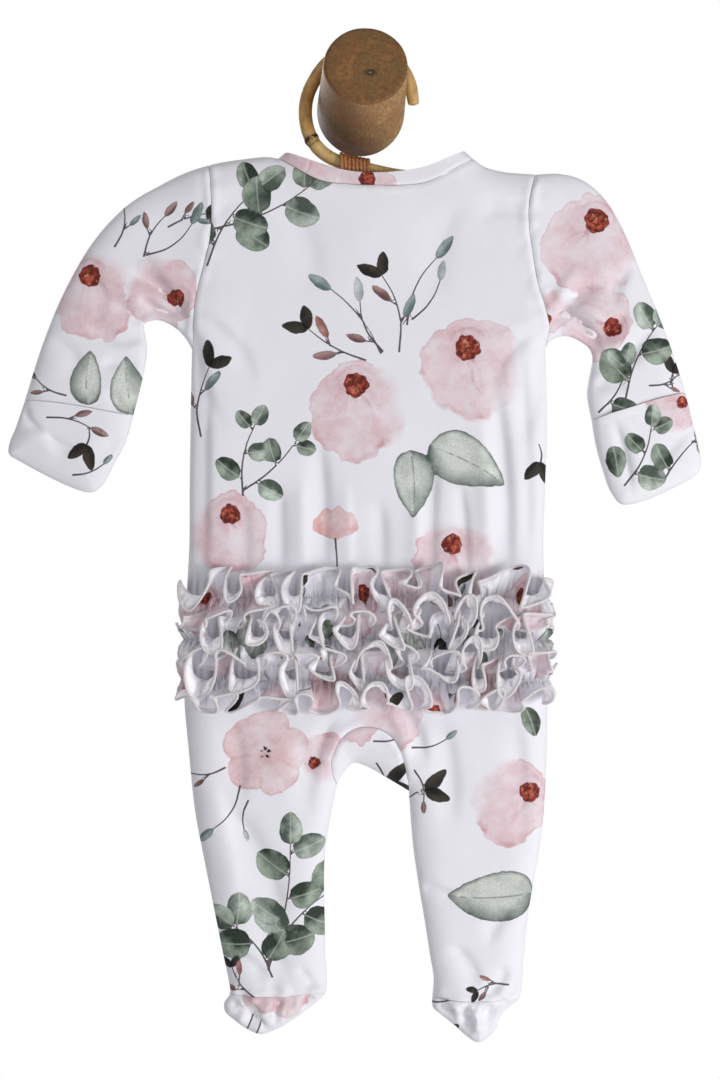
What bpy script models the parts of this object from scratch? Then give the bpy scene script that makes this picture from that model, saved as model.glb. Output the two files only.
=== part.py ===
"""A baby's footed sleepsuit with set-in sleeves, closed fold-over mittens and three ruffle rows across the seat.
It hangs with its back to the front of the frame on a cane hanger, whose hook hangs on a round wooden wall peg.

Millimetres in the tables and metres in the scene, +Z up. The wall is the plane y = 0 and the peg's axis meets it at the origin.
The suit's back is its -Y side. Left and right are the wearer's, who faces +Y, so left is -X.

Every cloth wall comes from one form: the outline of the hanging suit, filled like a flat pillow of half-depth D about
the middle plane y = MID_Y. A panel is a region of that outline, and its two faces are the form and the form moved in by the cloth's thickness."""

import math

import bpy
import numpy as np
from mathutils import Vector
from mathutils.geometry import delaunay_2d_cdt

for old in list(bpy.data.objects):
    bpy.data.objects.remove(old, do_unlink=True)

CLOTH = 1.5  # thickness of a cloth wall
SEAM = 0.3  # gap between neighbouring pieces
MID_Y = -15.0  # middle plane of the hanging suit
EDGE_ROUND = 18.0  # distance from an edge at which the form is flat
DEPTH_TORSO, DEPTH_SLEEVE, DEPTH_LEG, DEPTH_FOOT = 10.0, 7.5, 9.0, 12.0
FINE_STEP = 1.5  # spacing of the smooth outline
LONGEST, MOST_SAG = 24.0, 0.45  # longest facet along an edge, and how far a facet may leave the curve
ROWS_IN = (3.0, 9.5)  # rows of points behind an edge
GRID = 27.0
PLACKET_X, PLACKET_WIDTH = 5.0, 15.0
SNAPS, SNAP_RADIUS, SNAP_HIGH = 7, 4.5, 1.3


def table(columns, *rows):
    names = columns.split()
    return [dict(zip(names, row)) for row in rows]


NECK = table(
    "place x back_top back_seam front_top front_seam",
    ("left_quarter", -26.0, -36.6, -47.4, -54.5, -65.0),
    ("left_middle", -8.0, -41.6, -49.9, -63.0, -71.8),
    ("middle", 8.0, -42.7, -50.5, -66.0, -73.6),
    ("right_middle", 24.0, -41.8, -50.6, -63.6, -71.6),
    ("right_quarter", 42.0, -38.2, -48.2, -53.5, -64.5),
)
NECK_SIDE = table(
    "side top_x top_z seam_x seam_z",
    ("left", -47.9, -28.8, -52.3, -32.6),
    ("right", 65.3, -28.0, 70.9, -32.9),
)
SHOULDER = table(
    "place left_x left_z right_x right_z",
    ("inner", -59.2, -31.6, 77.5, -37.6),
    ("middle", -75.6, -33.2, 88.2, -40.8),
    ("outer", -86.0, -34.7, 99.5, -42.0),
)
SLEEVE_LEFT = table(
    "section outer_x outer_z inner_x inner_z",
    ("head", -95.4, -36.7, -106.5, -152.6),
    ("cap", -111.5, -41.9, -111.5, -144.6),
    ("bicep", -128.5, -50.5, -118.5, -138.2),
    ("upper", -144.9, -60.2, -128.0, -134.4),
    ("above_elbow", -160.2, -74.4, -136.4, -136.8),
    ("elbow", -172.0, -89.6, -136.0, -144.0),
    ("below_elbow", -181.3, -105.5, -134.8, -151.5),
    ("forearm", -190.5, -124.0, -135.6, -161.0),
    ("lower", -201.5, -152.0, -139.0, -177.1),
    ("wrist", -212.0, -185.3, -143.6, -194.8),
)
SLEEVE_RIGHT = table(
    "section outer_x outer_z inner_x inner_z",
    ("head", 109.6, -42.6, 115.9, -151.9),
    ("cap", 124.5, -42.2, 119.5, -147.5),
    ("bicep", 137.0, -45.0, 125.0, -144.8),
    ("upper", 147.4, -51.6, 131.5, -144.8),
    ("above_elbow", 156.8, -62.5, 138.0, -147.8),
    ("elbow", 167.0, -81.4, 143.6, -152.0),
    ("below_elbow", 177.0, -106.0, 145.8, -158.0),
    ("forearm", 186.5, -128.5, 144.6, -166.5),
    ("lower", 196.5, -155.0, 142.4, -181.0),
    ("wrist", 204.3, -180.0, 145.3, -197.9),
)
MITTEN_LEFT = table(
    "section outer_x outer_z inner_x inner_z",
    ("palm", -217.4, -201.5, -148.3, -211.2),
    ("knuckles", -221.6, -212.0, -155.8, -225.4),
    ("tip", -221.9, -218.6, -163.3, -238.9),
    ("end", -216.3, -222.6, -170.8, -243.0),
)
MITTEN_RIGHT = table(
    "section outer_x outer_z inner_x inner_z",
    ("palm", 208.6, -197.5, 147.6, -212.0),
    ("knuckles", 212.6, -214.0, 152.0, -228.0),
    ("tip", 214.2, -226.5, 157.6, -243.0),
    ("end", 209.4, -233.0, 165.2, -250.6),
)
MITTEN_EDGE = table(
    "place left_x left_z right_x right_z",
    ("outer", -197.0, -186.0, 189.0, -183.4),
    ("middle", -180.0, -188.2, 171.5, -188.8),
    ("inner", -162.0, -191.4, 157.5, -193.2),
)
ARMHOLE = table(
    "place left_x left_z right_x right_z",
    ("top", -94.3, -49.6, 106.0, -58.0),
    ("upper", -93.7, -67.0, 105.3, -73.2),
    ("middle", -94.9, -84.5, 107.9, -93.9),
    ("lower", -98.9, -101.5, 111.2, -112.9),
    ("bend", -103.0, -118.0, 116.0, -128.0),
    ("bottom", -105.2, -135.0, 118.4, -141.0),
)
BODY = table(
    "height left right",
    (-170.0, -106.9, 116.6),
    (-205.0, -107.5, 117.2),
    (-240.0, -108.0, 116.0),
    (-275.0, -108.2, 114.9),
    (-310.0, -110.0, 115.8),
    (-345.0, -111.2, 116.9),
    (-375.0, -111.2, 117.4),
    (-405.0, -108.6, 117.0),
)
LEGS = table(
    "height left_outer left_inner right_inner right_outer",
    (-444.0, -104.5, -18.6, 31.0, 115.2),
    (-467.0, -100.2, -22.4, 33.0, 112.4),
    (-489.0, -95.8, -23.3, 36.2, 108.6),
    (-512.0, -91.2, -22.8, 40.0, 104.8),
    (-535.0, -86.6, -22.4, 43.6, 102.6),
    (-549.0, -83.6, -21.4, 45.8, 101.6),
)
ANKLE = table(
    "side outer_x outer_z middle_x middle_z inner_x inner_z",
    ("left", -82.6, -558.5, -52.0, -559.6, -22.6, -558.2),
    ("right", 99.4, -562.0, 72.0, -562.6, 45.0, -560.4),
)
FOOT_LEFT = table(
    "height outer inner",
    (-564.5, -86.2, -28.5),
    (-570.0, -85.6, -35.8),
    (-575.5, -79.6, -43.5),
    (-580.5, -72.4, -52.0),
)
FOOT_RIGHT = table(
    "height outer inner",
    (-567.0, 93.4, 45.2),
    (-573.0, 87.8, 52.0),
    (-579.5, 85.4, 60.0),
    (-585.5, 80.8, 66.5),
)
TOE = table("side x z", ("left", -63.2, -584.2), ("right", 73.8, -589.4))
CROTCH = table(
    "place x fold arch",
    ("far_left", -12.2, -420.8, -398.0),
    ("left", -4.6, -413.4, -391.7),
    ("middle", 5.0, -416.2, -390.2),
    ("right", 15.5, -422.2, -393.4),
    ("far_right", 23.5, -427.0, -402.0),
)
CROTCH_END = table("side x z", ("left", -15.3, -427.0), ("right", 30.2, -431.0))
CROTCH_SIDE = table("side x z", ("left", -18.0, -412.0), ("right", 27.6, -416.0))
RUFFLES = table(
    "name height up down flutes start lean",
    ("ruffle_top", -308.8, 15.2, 12.3, 12, 0.4, 0.5),
    ("ruffle_middle", -335.4, 12.9, 12.2, 13, 2.6, -0.6),
    ("ruffle_bottom", -361.0, 12.4, 18.6, 12, 4.3, 0.3),
)
RUFFLE_LIFT, RUFFLE_SWAY, RUFFLE_CLOTH, RUFFLE_PER_FLUTE = 8.0, 1.9, 1.2, 6
RUFFLE_OFF, RUFFLE_END = 1.5, 0.8  # the gathered line's distance from the form, and its ends' distance from the side seams
HOOK = table(
    "place x z y thick",
    ("cut_end", 33.4, 1.6, -11.0, 7.2),
    ("right", 31.6, 11.0, -11.0, 8.0),
    ("upper_right", 26.8, 21.8, -11.0, 8.8),
    ("top_right", 17.0, 31.0, -11.0, 9.2),
    ("top", 2.0, 36.4, -11.0, 9.2),
    ("top_left", -14.2, 33.0, -11.0, 9.2),
    ("upper_left", -26.6, 21.8, -11.0, 9.2),
    ("left", -33.6, 8.6, -11.0, 9.0),
    ("lower_left", -35.3, -4.2, -11.2, 9.0),
    ("node", -32.6, -17.0, -11.8, 9.2),
    ("turn", -25.6, -27.2, -13.2, 8.8),
    ("bound", -14.0, -34.4, -14.6, 8.4),
    ("bound_end", 6.9, -39.2, -15.0, 7.2),
    ("taper", 21.4, -41.7, -15.0, 6.0),
    ("tip", 31.5, -42.3, -15.0, 4.6),
)
BAR = table(
    "place x z",
    ("left_end", -105.0, -49.8),
    ("left", -94.0, -45.8),
    ("left_arm", -69.9, -41.4),
    ("left_neck", -38.4, -41.0),
    ("bound", -14.0, -45.4),
    ("middle", 6.9, -48.0),
    ("right_bound", 24.0, -50.2),
    ("right_neck", 52.0, -47.2),
    ("right_arm", 76.0, -47.6),
    ("right", 96.0, -50.0),
    ("right_end", 115.0, -52.6),
)
BAR_THICK = 8.4
WRAPS, WRAP_FROM, WRAP_TO, CORD = 8, -14.0, 7.5, 1.5
PEG = table(
    "place along radius",
    ("wall", -8.0, 28.0),
    ("body", 30.0, 27.0),
    ("shoulder", 64.5, 26.0),
    ("rim", 67.2, 24.6),
)
PEG_FACE = (3.05, -65.0, 17.0)  # the middle of the peg's end face
PEG_SIDES = 48


# ---------------------------------------------------------------- curves
def pick(rows, *pairs):
    """Points (x, z) of the named column pairs, pair after pair."""
    return [(row[a], row[b]) for a, b in pairs for row in rows]


def smooth(points, step=FINE_STEP):
    """A curve through the points, centripetal Catmull-Rom, at an even step. Its ends are the first and last point."""
    p = np.array(points, float)
    p = np.vstack([2 * p[0] - p[1], p, 2 * p[-1] - p[-2]])
    out = []
    for a, b, c, d in zip(p, p[1:], p[2:], p[3:]):
        t1 = np.linalg.norm(b - a) ** 0.5
        t2 = t1 + np.linalg.norm(c - b) ** 0.5
        t3 = t2 + np.linalg.norm(d - c) ** 0.5
        t = np.linspace(t1, t2, 24, endpoint=False)[:, None]
        ab, bc, cd = (
            a + (b - a) * t / t1,
            b + (c - b) * (t - t1) / (t2 - t1),
            c + (d - c) * (t - t2) / (t3 - t2),
        )
        abc = ab + (bc - ab) * t / t2
        bcd = bc + (cd - bc) * (t - t1) / (t3 - t1)
        out.append(abc + (bcd - abc) * (t - t1) / (t2 - t1))
    out = np.vstack(out + [p[-2:-1]])
    along = np.r_[0, np.cumsum(np.linalg.norm(np.diff(out, axis=0), axis=1))]
    steps = max(2, int(round(along[-1] / step)))
    at = np.linspace(0, along[-1], steps + 1)
    return np.stack([np.interp(at, along, out[:, k]) for k in range(p.shape[1])], 1)


def split(curve, *marks):
    """Pieces of a curve between the points nearest to the marks, which become exact."""
    cuts = [0]
    for mark in marks:
        k = int(np.argmin(np.linalg.norm(curve - np.array(mark), axis=1)))
        curve[k] = mark
        cuts.append(k)
    cuts.append(len(curve) - 1)
    return [curve[a : b + 1] for a, b in zip(cuts, cuts[1:])]


def by_side(rows, side):
    return next(row for row in rows if row["side"] == side)


def outline():
    """The named edges and seams of the suit, each an array of (x, z). Edges run counterclockwise as seen from -Y."""
    e = {}
    for side, sleeve, mitten, foot in (
        ("left", SLEEVE_LEFT, MITTEN_LEFT, FOOT_LEFT),
        ("right", SLEEVE_RIGHT, MITTEN_RIGHT, FOOT_RIGHT),
    ):
        neck, ankle, toe, crotch = (
            by_side(rows, side) for rows in (NECK_SIDE, ANKLE, TOE, CROTCH_END)
        )
        seam, head = (neck["seam_x"], neck["seam_z"]), (sleeve[0]["outer_x"], sleeve[0]["outer_z"])
        wrist_out = (sleeve[-1]["outer_x"], sleeve[-1]["outer_z"])
        wrist_in = (sleeve[-1]["inner_x"], sleeve[-1]["inner_z"])
        pit = (sleeve[0]["inner_x"], sleeve[0]["inner_z"])
        outer_ankle = (ankle["outer_x"], ankle["outer_z"])
        inner_ankle = (ankle["inner_x"], ankle["inner_z"])
        arm = (
            [seam]
            + pick(SHOULDER, (side + "_x", side + "_z"))
            + pick(sleeve, ("outer_x", "outer_z"))
            + pick(mitten, ("outer_x", "outer_z"))
            + pick(mitten, ("inner_x", "inner_z"))[::-1]
            + pick(sleeve, ("inner_x", "inner_z"))[::-1]
        )
        e["shoulder"], e["sleeve_out"], e["mitten_end"], e["sleeve_in"] = split(
            smooth(arm), head, wrist_out, wrist_in
        )
        leg = (
            [pit]
            + [(row[side], row["height"]) for row in BODY]
            + [(row[side + "_outer"], row["height"]) for row in LEGS]
            + [outer_ankle]
            + [(row["outer"], row["height"]) for row in foot]
            + [(toe["x"], toe["z"])]
            + [(row["inner"], row["height"]) for row in foot][::-1]
            + [inner_ankle]
            + [(row[side + "_inner"], row["height"]) for row in LEGS][::-1]
            + [(crotch["x"], crotch["z"])]
        )
        e["side"], e["foot_end"], e["leg_in"] = split(smooth(leg), outer_ankle, inner_ankle)
        e["band_side"] = smooth([(neck["top_x"], neck["top_z"]), seam], 3.0)
        for name in (
            "band_side shoulder sleeve_out mitten_end sleeve_in side foot_end leg_in"
        ).split():
            curve = e.pop(name)
            e[f"{name}_{side}"] = curve if side == "left" else curve[::-1]
        e[f"armhole_{side}"] = smooth(
            [head] + pick(ARMHOLE, (side + "_x", side + "_z")) + [pit]
        )
        e[f"mitten_edge_{side}"] = smooth(
            [wrist_out] + pick(MITTEN_EDGE, (side + "_x", side + "_z")) + [wrist_in]
        )
        e[f"ankle_{side}"] = smooth(
            [outer_ankle, (ankle["middle_x"], ankle["middle_z"]), inner_ankle]
        )
    ends = [(row["x"], row["z"]) for row in CROTCH_END]
    sides = [(row["x"], row["z"]) for row in CROTCH_SIDE]
    e["fold"] = smooth(ends[:1] + [(row["x"], row["fold"]) for row in CROTCH] + ends[1:])
    e["arch"] = smooth(
        [ends[0], sides[0]] + [(row["x"], row["arch"]) for row in CROTCH] + [sides[1], ends[1]]
    )
    for kind in ("top", "seam"):
        left, right = ((row[kind + "_x"], row[kind + "_z"]) for row in NECK_SIDE)
        for half in ("back", "front"):
            middle = [(row["x"], row[f"{half}_{kind}"]) for row in NECK]
            e[f"neck_{half}_{kind}"] = smooth([left] + middle + [right])
    return e


EDGES = outline()
CLOSED = (
    "band_side_left shoulder_left sleeve_out_left mitten_end_left sleeve_in_left side_left foot_end_left leg_in_left fold "
    "leg_in_right foot_end_right side_right sleeve_in_right mitten_end_right sleeve_out_right shoulder_right band_side_right"
).split()
RIM = np.vstack([EDGES[name][:-1] for name in CLOSED] + [EDGES[CLOSED[-1]][-1:]])


# ---------------------------------------------------------------- the form
def rim_normals():
    d = np.diff(RIM, axis=0)
    d /= np.linalg.norm(d, axis=1)[:, None]
    d = np.vstack([d[:1], (d[1:] + d[:-1]), d[-1:]])
    d /= np.linalg.norm(d, axis=1)[:, None]
    return np.stack([d[:, 1], -d[:, 0]], 1)


RIM_NORMALS = rim_normals()


def from_edge(points):
    """(distance from the closed edges, unit direction out towards them) of points (x, z)."""
    points = np.asarray(points, float).reshape(-1, 2)
    a, d = RIM[:-1], np.diff(RIM, axis=0)
    far, out = np.empty(len(points)), np.empty((len(points), 2))
    for start in range(0, len(points), 400):
        p = points[start : start + 400]
        w = p[:, None] - a[None]
        t = np.clip((w * d).sum(2) / (d * d).sum(1), 0, 1)
        gap = w - t[..., None] * d
        size = np.linalg.norm(gap, axis=2)
        k = size.argmin(1)
        i = np.arange(len(p))
        s, tt = size[i, k], t[i, k][:, None]
        edge_normal = RIM_NORMALS[k] * (1 - tt) + RIM_NORMALS[k + 1] * tt
        edge_normal /= np.linalg.norm(edge_normal, axis=1)[:, None]
        direction = -gap[i, k] / np.maximum(s, 1e-9)[:, None]
        far[start : start + 400] = s
        out[start : start + 400] = np.where((s < 1e-3)[:, None], edge_normal, direction)
    return far, out


def onto_rim(point):
    """The point of the closed edges nearest to a point."""
    a, d = RIM[:-1], np.diff(RIM, axis=0)
    t = np.clip(((point - a) * d).sum(1) / (d * d).sum(1), 0, 1)
    on = a + t[:, None] * d
    return on[np.linalg.norm(on - point, axis=1).argmin()]


def step_up(value, low, high):
    t = np.clip((value - low) / (high - low), 0, 1)
    return t * t * (3 - 2 * t)


def half_depth(points):
    """The largest half-depth of the form about each point."""
    x, z = points[:, 0], points[:, 1]
    middle = 0.5 * (BODY[0]["left"] + BODY[0]["right"])
    arm = step_up(np.abs(x - middle), 98, 128) * step_up(z, -262, -250)
    leg = step_up(-z, 425, 465)
    foot = step_up(-z, 553, 572)
    deep = DEPTH_TORSO + (DEPTH_LEG - DEPTH_TORSO) * leg
    deep = deep + (DEPTH_SLEEVE - DEPTH_TORSO) * arm
    return deep + (DEPTH_FOOT - DEPTH_LEG) * foot


def form(points, side):
    """(points in space, outward unit normals) of the suit's outer face. Side is -1 on its back and +1 on its front."""
    points = np.asarray(points, float).reshape(-1, 2)
    far, out = from_edge(points)
    far = np.where(far < 2e-3, 0, far)
    deep = half_depth(points)
    u = 1 - np.clip(far / EDGE_ROUND, 0, 1)
    rise = np.sqrt(np.clip(1 - u * u, 0, 1))
    place = np.stack([points[:, 0], MID_Y + side * deep * rise, points[:, 1]], 1)
    slope = deep / EDGE_ROUND * u
    normal = np.stack([out[:, 0] * slope, side * np.maximum(rise, 1e-9), out[:, 1] * slope], 1)
    return place, normal / np.linalg.norm(normal, axis=1)[:, None]


# ---------------------------------------------------------------- panels
def coarse(curve, edge):
    """The points of a smooth curve that keep its shape. A seam has more of them near its ends, where the form is steep."""
    keep, k = [0], 0
    along = np.r_[0, np.cumsum(np.linalg.norm(np.diff(curve, axis=0), axis=1))]
    near = [] if edge else [r for r in ROWS_IN + (EDGE_ROUND,) if r < along[-1] / 2 - 2]
    stops = sorted({int(np.argmin(abs(along - r))) for r in near} | {int(np.argmin(abs(along - along[-1] + r))) for r in near})
    while k < len(curve) - 1:
        j = k + 1
        while j < len(curve) - 1 and j not in stops:
            chord = curve[j + 1] - curve[k]
            size = np.linalg.norm(chord)
            across = curve[k : j + 2] - curve[k]
            sag = abs(across[:, 0] * chord[1] - across[:, 1] * chord[0]).max() / max(size, 1e-9)
            if size > LONGEST or sag > MOST_SAG:
                break
            j += 1
        keep.append(j)
        k = j
    return curve[keep]


def region(*runs):
    """(loop of points, which edges of it are seams) of a region bounded by named curves in order. A minus sign turns one round.
    Seams are half a gap inside the curve, and ends that lie on an edge of the suit stay on it."""
    curves = []
    for run in runs:
        name = run.lstrip("-")
        edge = name in CLOSED
        curve = coarse(EDGES[name], edge)
        curves.append((curve[::-1] if run.startswith("-") else curve, not edge))
    loop, seams = [], []
    for k, (curve, seam) in enumerate(curves):
        before, before_seam = curves[k - 1]
        moved = curve.copy()
        if seam:
            d = np.gradient(curve, axis=0)
            d /= np.linalg.norm(d, axis=1)[:, None]
            moved = curve + SEAM / 2 * np.stack([-d[:, 1], d[:, 0]], 1)
        d_in, d_out = before[-1] - before[-2], curve[1] - curve[0]
        d_in, d_out = d_in / np.linalg.norm(d_in), d_out / np.linalg.norm(d_out)
        n_in, n_out = np.array([-d_in[1], d_in[0]]), np.array([-d_out[1], d_out[0]])
        start = curve[0]
        if before_seam and not seam:
            start = start + d_out * SEAM * 0.65
        elif seam and not before_seam:
            start = start - d_in * SEAM * 0.65
        elif seam and before_seam:
            start = start + SEAM / 2 * (n_in + n_out) / (1 + n_in @ n_out)
        if seam != before_seam:
            start = onto_rim(start)
        moved[0] = start
        loop += list(moved[:-1])
        seams += [seam] * (len(moved) - 1)
    return np.array(loop), seams


def inside(points, loop):
    """Which points lie in the loop, and how far each is from it."""
    a, b = loop, np.roll(loop, -1, axis=0)
    x, z = points[:, 0][:, None], points[:, 1][:, None]
    crosses = (a[:, 1] > z) != (b[:, 1] > z)
    with np.errstate(divide="ignore", invalid="ignore"):
        at = (b[:, 0] - a[:, 0]) * (z - a[:, 1]) / (b[:, 1] - a[:, 1]) + a[:, 0]
    within = (crosses & (x < at)).sum(1) % 2 == 1
    d = b - a
    w = points[:, None] - a[None]
    t = np.clip((w * d).sum(2) / np.maximum((d * d).sum(1), 1e-12), 0, 1)
    return within, np.linalg.norm(w - t[..., None] * d, axis=2).min(1)


def mesh_region(loop, seams, grid=GRID, rows=ROWS_IN):
    """(points, triangles) of a region. The loop's points come first."""
    extra = []
    near = np.roll(loop, -1, axis=0)
    for row in rows:
        middles = np.vstack([loop, (loop + near) / 2]) if row < 5 else loop
        _, out = from_edge(middles)
        at = middles - out * row
        far, _ = from_edge(at)
        extra += [p for p, f in zip(at, far) if abs(f - row) < 0.25 * row]
    low, high = loop.min(0), loop.max(0)
    k = 0
    z = low[1] + grid / 2
    while z < high[1]:
        x = low[0] + (grid / 2 if k % 2 else grid)
        while x < high[0]:
            extra.append((x, z))
            x += grid
        z += grid * 0.87
        k += 1
    extra = np.array(extra).reshape(-1, 2)
    within, gap = inside(extra, loop)
    far, _ = from_edge(extra)
    enough = np.where(far < 14, 0.55 * np.minimum(far, rows[0] if rows else far), 0.3 * grid)
    extra = extra[within & (gap > enough)]
    kept = []
    for p in extra:
        f = from_edge(p[None])[0][0]
        least = 2.2 if f < 5 else 5.5 if f < 14 else 0.55 * grid
        if all((p[0] - q[0]) ** 2 + (p[1] - q[1]) ** 2 > least * least for q in kept):
            kept.append(p)
    points = [Vector(p) for p in loop] + [Vector(p) for p in kept]
    n = len(loop)
    result = delaunay_2d_cdt(points, [(i, (i + 1) % n) for i in range(n)], [], 1, 1e-6)
    order = {}
    for new, olds in enumerate(result[3]):
        for old in olds:
            order.setdefault(new, old)
    triangles = []
    for face in result[2]:
        a, b, c = (order[v] for v in face)
        pa, pb, pc = points[a], points[b], points[c]
        turn = (pb.x - pa.x) * (pc.y - pa.y) - (pb.y - pa.y) * (pc.x - pa.x)
        triangles.append((a, b, c) if turn > 0 else (a, c, b))
    return np.vstack([loop] + [np.reshape(kept, (-1, 2))]), triangles


def wall(halves, low=-CLOTH, high=0.0):
    """(points, triangles) of one closed cloth body: each half is (loop, seams, side), and halves join where both lie on an edge of the suit.
    Low and high are the distances of its two faces from the form, outwards."""
    joined = len(halves) > 1
    place, faces = [], []
    for loop, seams, side in halves:
        flat, triangles = mesh_region(loop, seams)
        points, normals = form(flat, side)
        if not joined:
            far, _ = from_edge(flat)
            points[:, 1] += np.where(far < 2e-3, side * SEAM / 2, 0)
        count = sum(len(p) for p in place)
        n = len(flat)
        place += [points + normals * high, points + normals * low]
        over = [(a + count, b + count, c + count) for a, b, c in triangles]
        under = [(a + count + n, c + count + n, b + count + n) for a, b, c in triangles]
        edges = len(loop)
        sides = []
        for i in range(edges):
            if joined and not seams[i]:
                continue
            a, b = i, (i + 1) % edges
            top, under_ = (a + count, b + count), (a + count + n, b + count + n)
            # neighbours split a twisted strip of the rim along the same diagonal
            if (loop[a] - loop[b]) @ (1.0, 0.37) > 0:
                sides += [(top[1], top[0], under_[0]), (top[1], under_[0], under_[1])]
            else:
                sides += [(top[1], top[0], under_[1]), (top[0], under_[0], under_[1])]
        both = over + under + sides
        faces += both if side < 0 else [(a, c, b) for a, b, c in both]
    place = np.vstack(place)
    _, first, index = np.unique(
        np.round(place, 3), axis=0, return_index=True, return_inverse=True
    )
    index = index.reshape(-1)
    return place[first], [tuple(index[list(f)]) for f in faces]


def add(name, place, faces, colour, rough=0.85):
    mesh = bpy.data.meshes.new(name)
    mesh.from_pydata([tuple(p * 0.001) for p in np.asarray(place, float)], [], [tuple(int(v) for v in f) for f in faces])
    mesh.update()
    mesh.shade_smooth()
    mesh.set_sharp_from_angle(angle=math.radians(50))
    material = bpy.data.materials.new(name)
    material.use_nodes = True
    shader = material.node_tree.nodes["Principled BSDF"]
    shader.inputs["Base Color"].default_value = (*colour, 1)
    shader.inputs["Roughness"].default_value = rough
    material.diffuse_color = (*colour, 1)
    mesh.materials.append(material)
    item = bpy.data.objects.new(name, mesh)
    bpy.context.scene.collection.objects.link(item)
    return item


WHITE, BLUSH, SAGE = (0.79, 0.77, 0.83), (0.80, 0.62, 0.64), (0.62, 0.67, 0.62)
CANE, CORD_BROWN, WOOD, PEARL = (0.55, 0.33, 0.13), (0.36, 0.14, 0.07), (0.30, 0.17, 0.09), (0.86, 0.85, 0.84)

# the middle of the front, from the neck seam to the crotch arch
top = EDGES["neck_front_seam"]
arch = EDGES["arch"]
top_at, arch_at = (int(np.argmin(abs(curve[:, 0] - PLACKET_X))) for curve in (top, arch))
top[top_at, 0] = arch[arch_at, 0] = PLACKET_X
EDGES["front_seam_left"], EDGES["front_seam_right"] = top[: top_at + 1], top[top_at:]
EDGES["arch_left"], EDGES["arch_right"] = arch[: arch_at + 1], arch[arch_at:]
EDGES["front_middle"] = smooth([tuple(top[top_at]), tuple(arch[arch_at])])

BACK, FRONT = -1, 1
REGIONS = {
    "back": (
        "-neck_back_seam shoulder_left armhole_left side_left ankle_left leg_in_left arch_left arch_right leg_in_right -ankle_right side_right "
        "-armhole_right shoulder_right",
        BACK,
    ),
    "front_left": (
        "-front_seam_left shoulder_left armhole_left side_left ankle_left leg_in_left arch_left -front_middle",
        FRONT,
    ),
    "front_right": (
        "-front_seam_right front_middle arch_right leg_in_right -ankle_right side_right -armhole_right shoulder_right",
        FRONT,
    ),
    "foot_sole_left": ("-ankle_left foot_end_left", BACK),
    "foot_upper_left": ("-ankle_left foot_end_left", FRONT),
    "foot_sole_right": ("ankle_right foot_end_right", BACK),
    "foot_upper_right": ("ankle_right foot_end_right", FRONT),
}
for name, (runs, side) in REGIONS.items():
    loop, seams = region(*runs.split())
    add(name, *wall([(loop, seams, side)]), SAGE if "foot" in name else WHITE)

RINGS = {
    "sleeve_left": ("sleeve_out_left mitten_edge_left sleeve_in_left -armhole_left",) * 2,
    "sleeve_right": ("sleeve_in_right -mitten_edge_right sleeve_out_right armhole_right",) * 2,
    "mitten_left": ("mitten_end_left -mitten_edge_left",) * 2,
    "mitten_right": ("mitten_end_right mitten_edge_right",) * 2,
    "neckband": (
        "-neck_back_top band_side_left neck_back_seam band_side_right",
        "-neck_front_top band_side_left front_seam_left front_seam_right band_side_right",
    ),
    "crotch_gusset": ("fold -arch_right -arch_left",) * 2,
}
for name, pair in RINGS.items():
    halves = [(*region(*runs.split()), side) for runs, side in zip(pair, (BACK, FRONT))]
    add(name, *wall(halves), BLUSH if name == "neckband" else SAGE if "mitten" in name else WHITE)


# ---------------------------------------------------------------- placket and snaps
def strip(name, x, width, top_z, bottom_z, low, high, colour):
    """A straight strip of the front's points moved out from it by low to high."""
    left, right = x - width / 2, x + width / 2
    rows = max(2, int((top_z - bottom_z) / 30))
    heights = np.linspace(bottom_z, top_z, rows + 1)
    loop = np.array(
        [(left, z) for z in heights[::-1]] + [(right, z) for z in heights]
    )
    count = len(loop)
    points, normals = form(loop, FRONT)
    place = np.vstack([points + normals * high, points + normals * low])
    faces = []
    for i in range(rows):
        a, b, c, d = i, i + 1, count - 2 - i, count - 1 - i
        faces += [(a, c, b), (a, d, c), (a + count, b + count, c + count), (a + count, c + count, d + count)]
    for i in range(count):
        a, b = i, (i + 1) % count
        faces += [(a, b, b + count), (a, b + count, a + count)]
    add(name, place, faces, colour)


ZIP_TOP = float(top[top_at, 1]) - 2.0
ZIP_BOTTOM = float(arch[arch_at, 1]) + 3.0
strip("placket", PLACKET_X, PLACKET_WIDTH, ZIP_TOP, ZIP_BOTTOM, SEAM, SEAM + CLOTH, WHITE)


def disc(name, centre, radius, high, sides=16):
    """A snap cap: a low domed disc facing +Y."""
    rings = ((0.0, radius * 0.96), (high * 0.55, radius), (high, radius * 0.62))
    place = [
        centre + np.array([r * math.cos(t), y, r * math.sin(t)])
        for y, r in rings
        for t in (2 * math.pi * k / sides for k in range(sides))
    ]
    place += [centre, centre + np.array([0, high, 0])]
    faces = []
    for ring in range(2):
        for k in range(sides):
            a, b = ring * sides + k, ring * sides + (k + 1) % sides
            faces += [(a, a + sides, b + sides), (a, b + sides, b)]
    for k in range(sides):
        faces += [(len(place) - 2, k, (k + 1) % sides), (len(place) - 1, 2 * sides + (k + 1) % sides, 2 * sides + k)]
    add(name, place, faces, PEARL, 0.4)


for k in range(SNAPS):
    z = ZIP_TOP - 9 - (ZIP_TOP - ZIP_BOTTOM - 18) * k / (SNAPS - 1)
    at, _ = form([(PLACKET_X, z)], FRONT)
    disc(f"snap_{k + 1}", at[0] + np.array([0, 2 * SEAM + CLOTH, 0]), SNAP_RADIUS, SNAP_HIGH)


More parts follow.
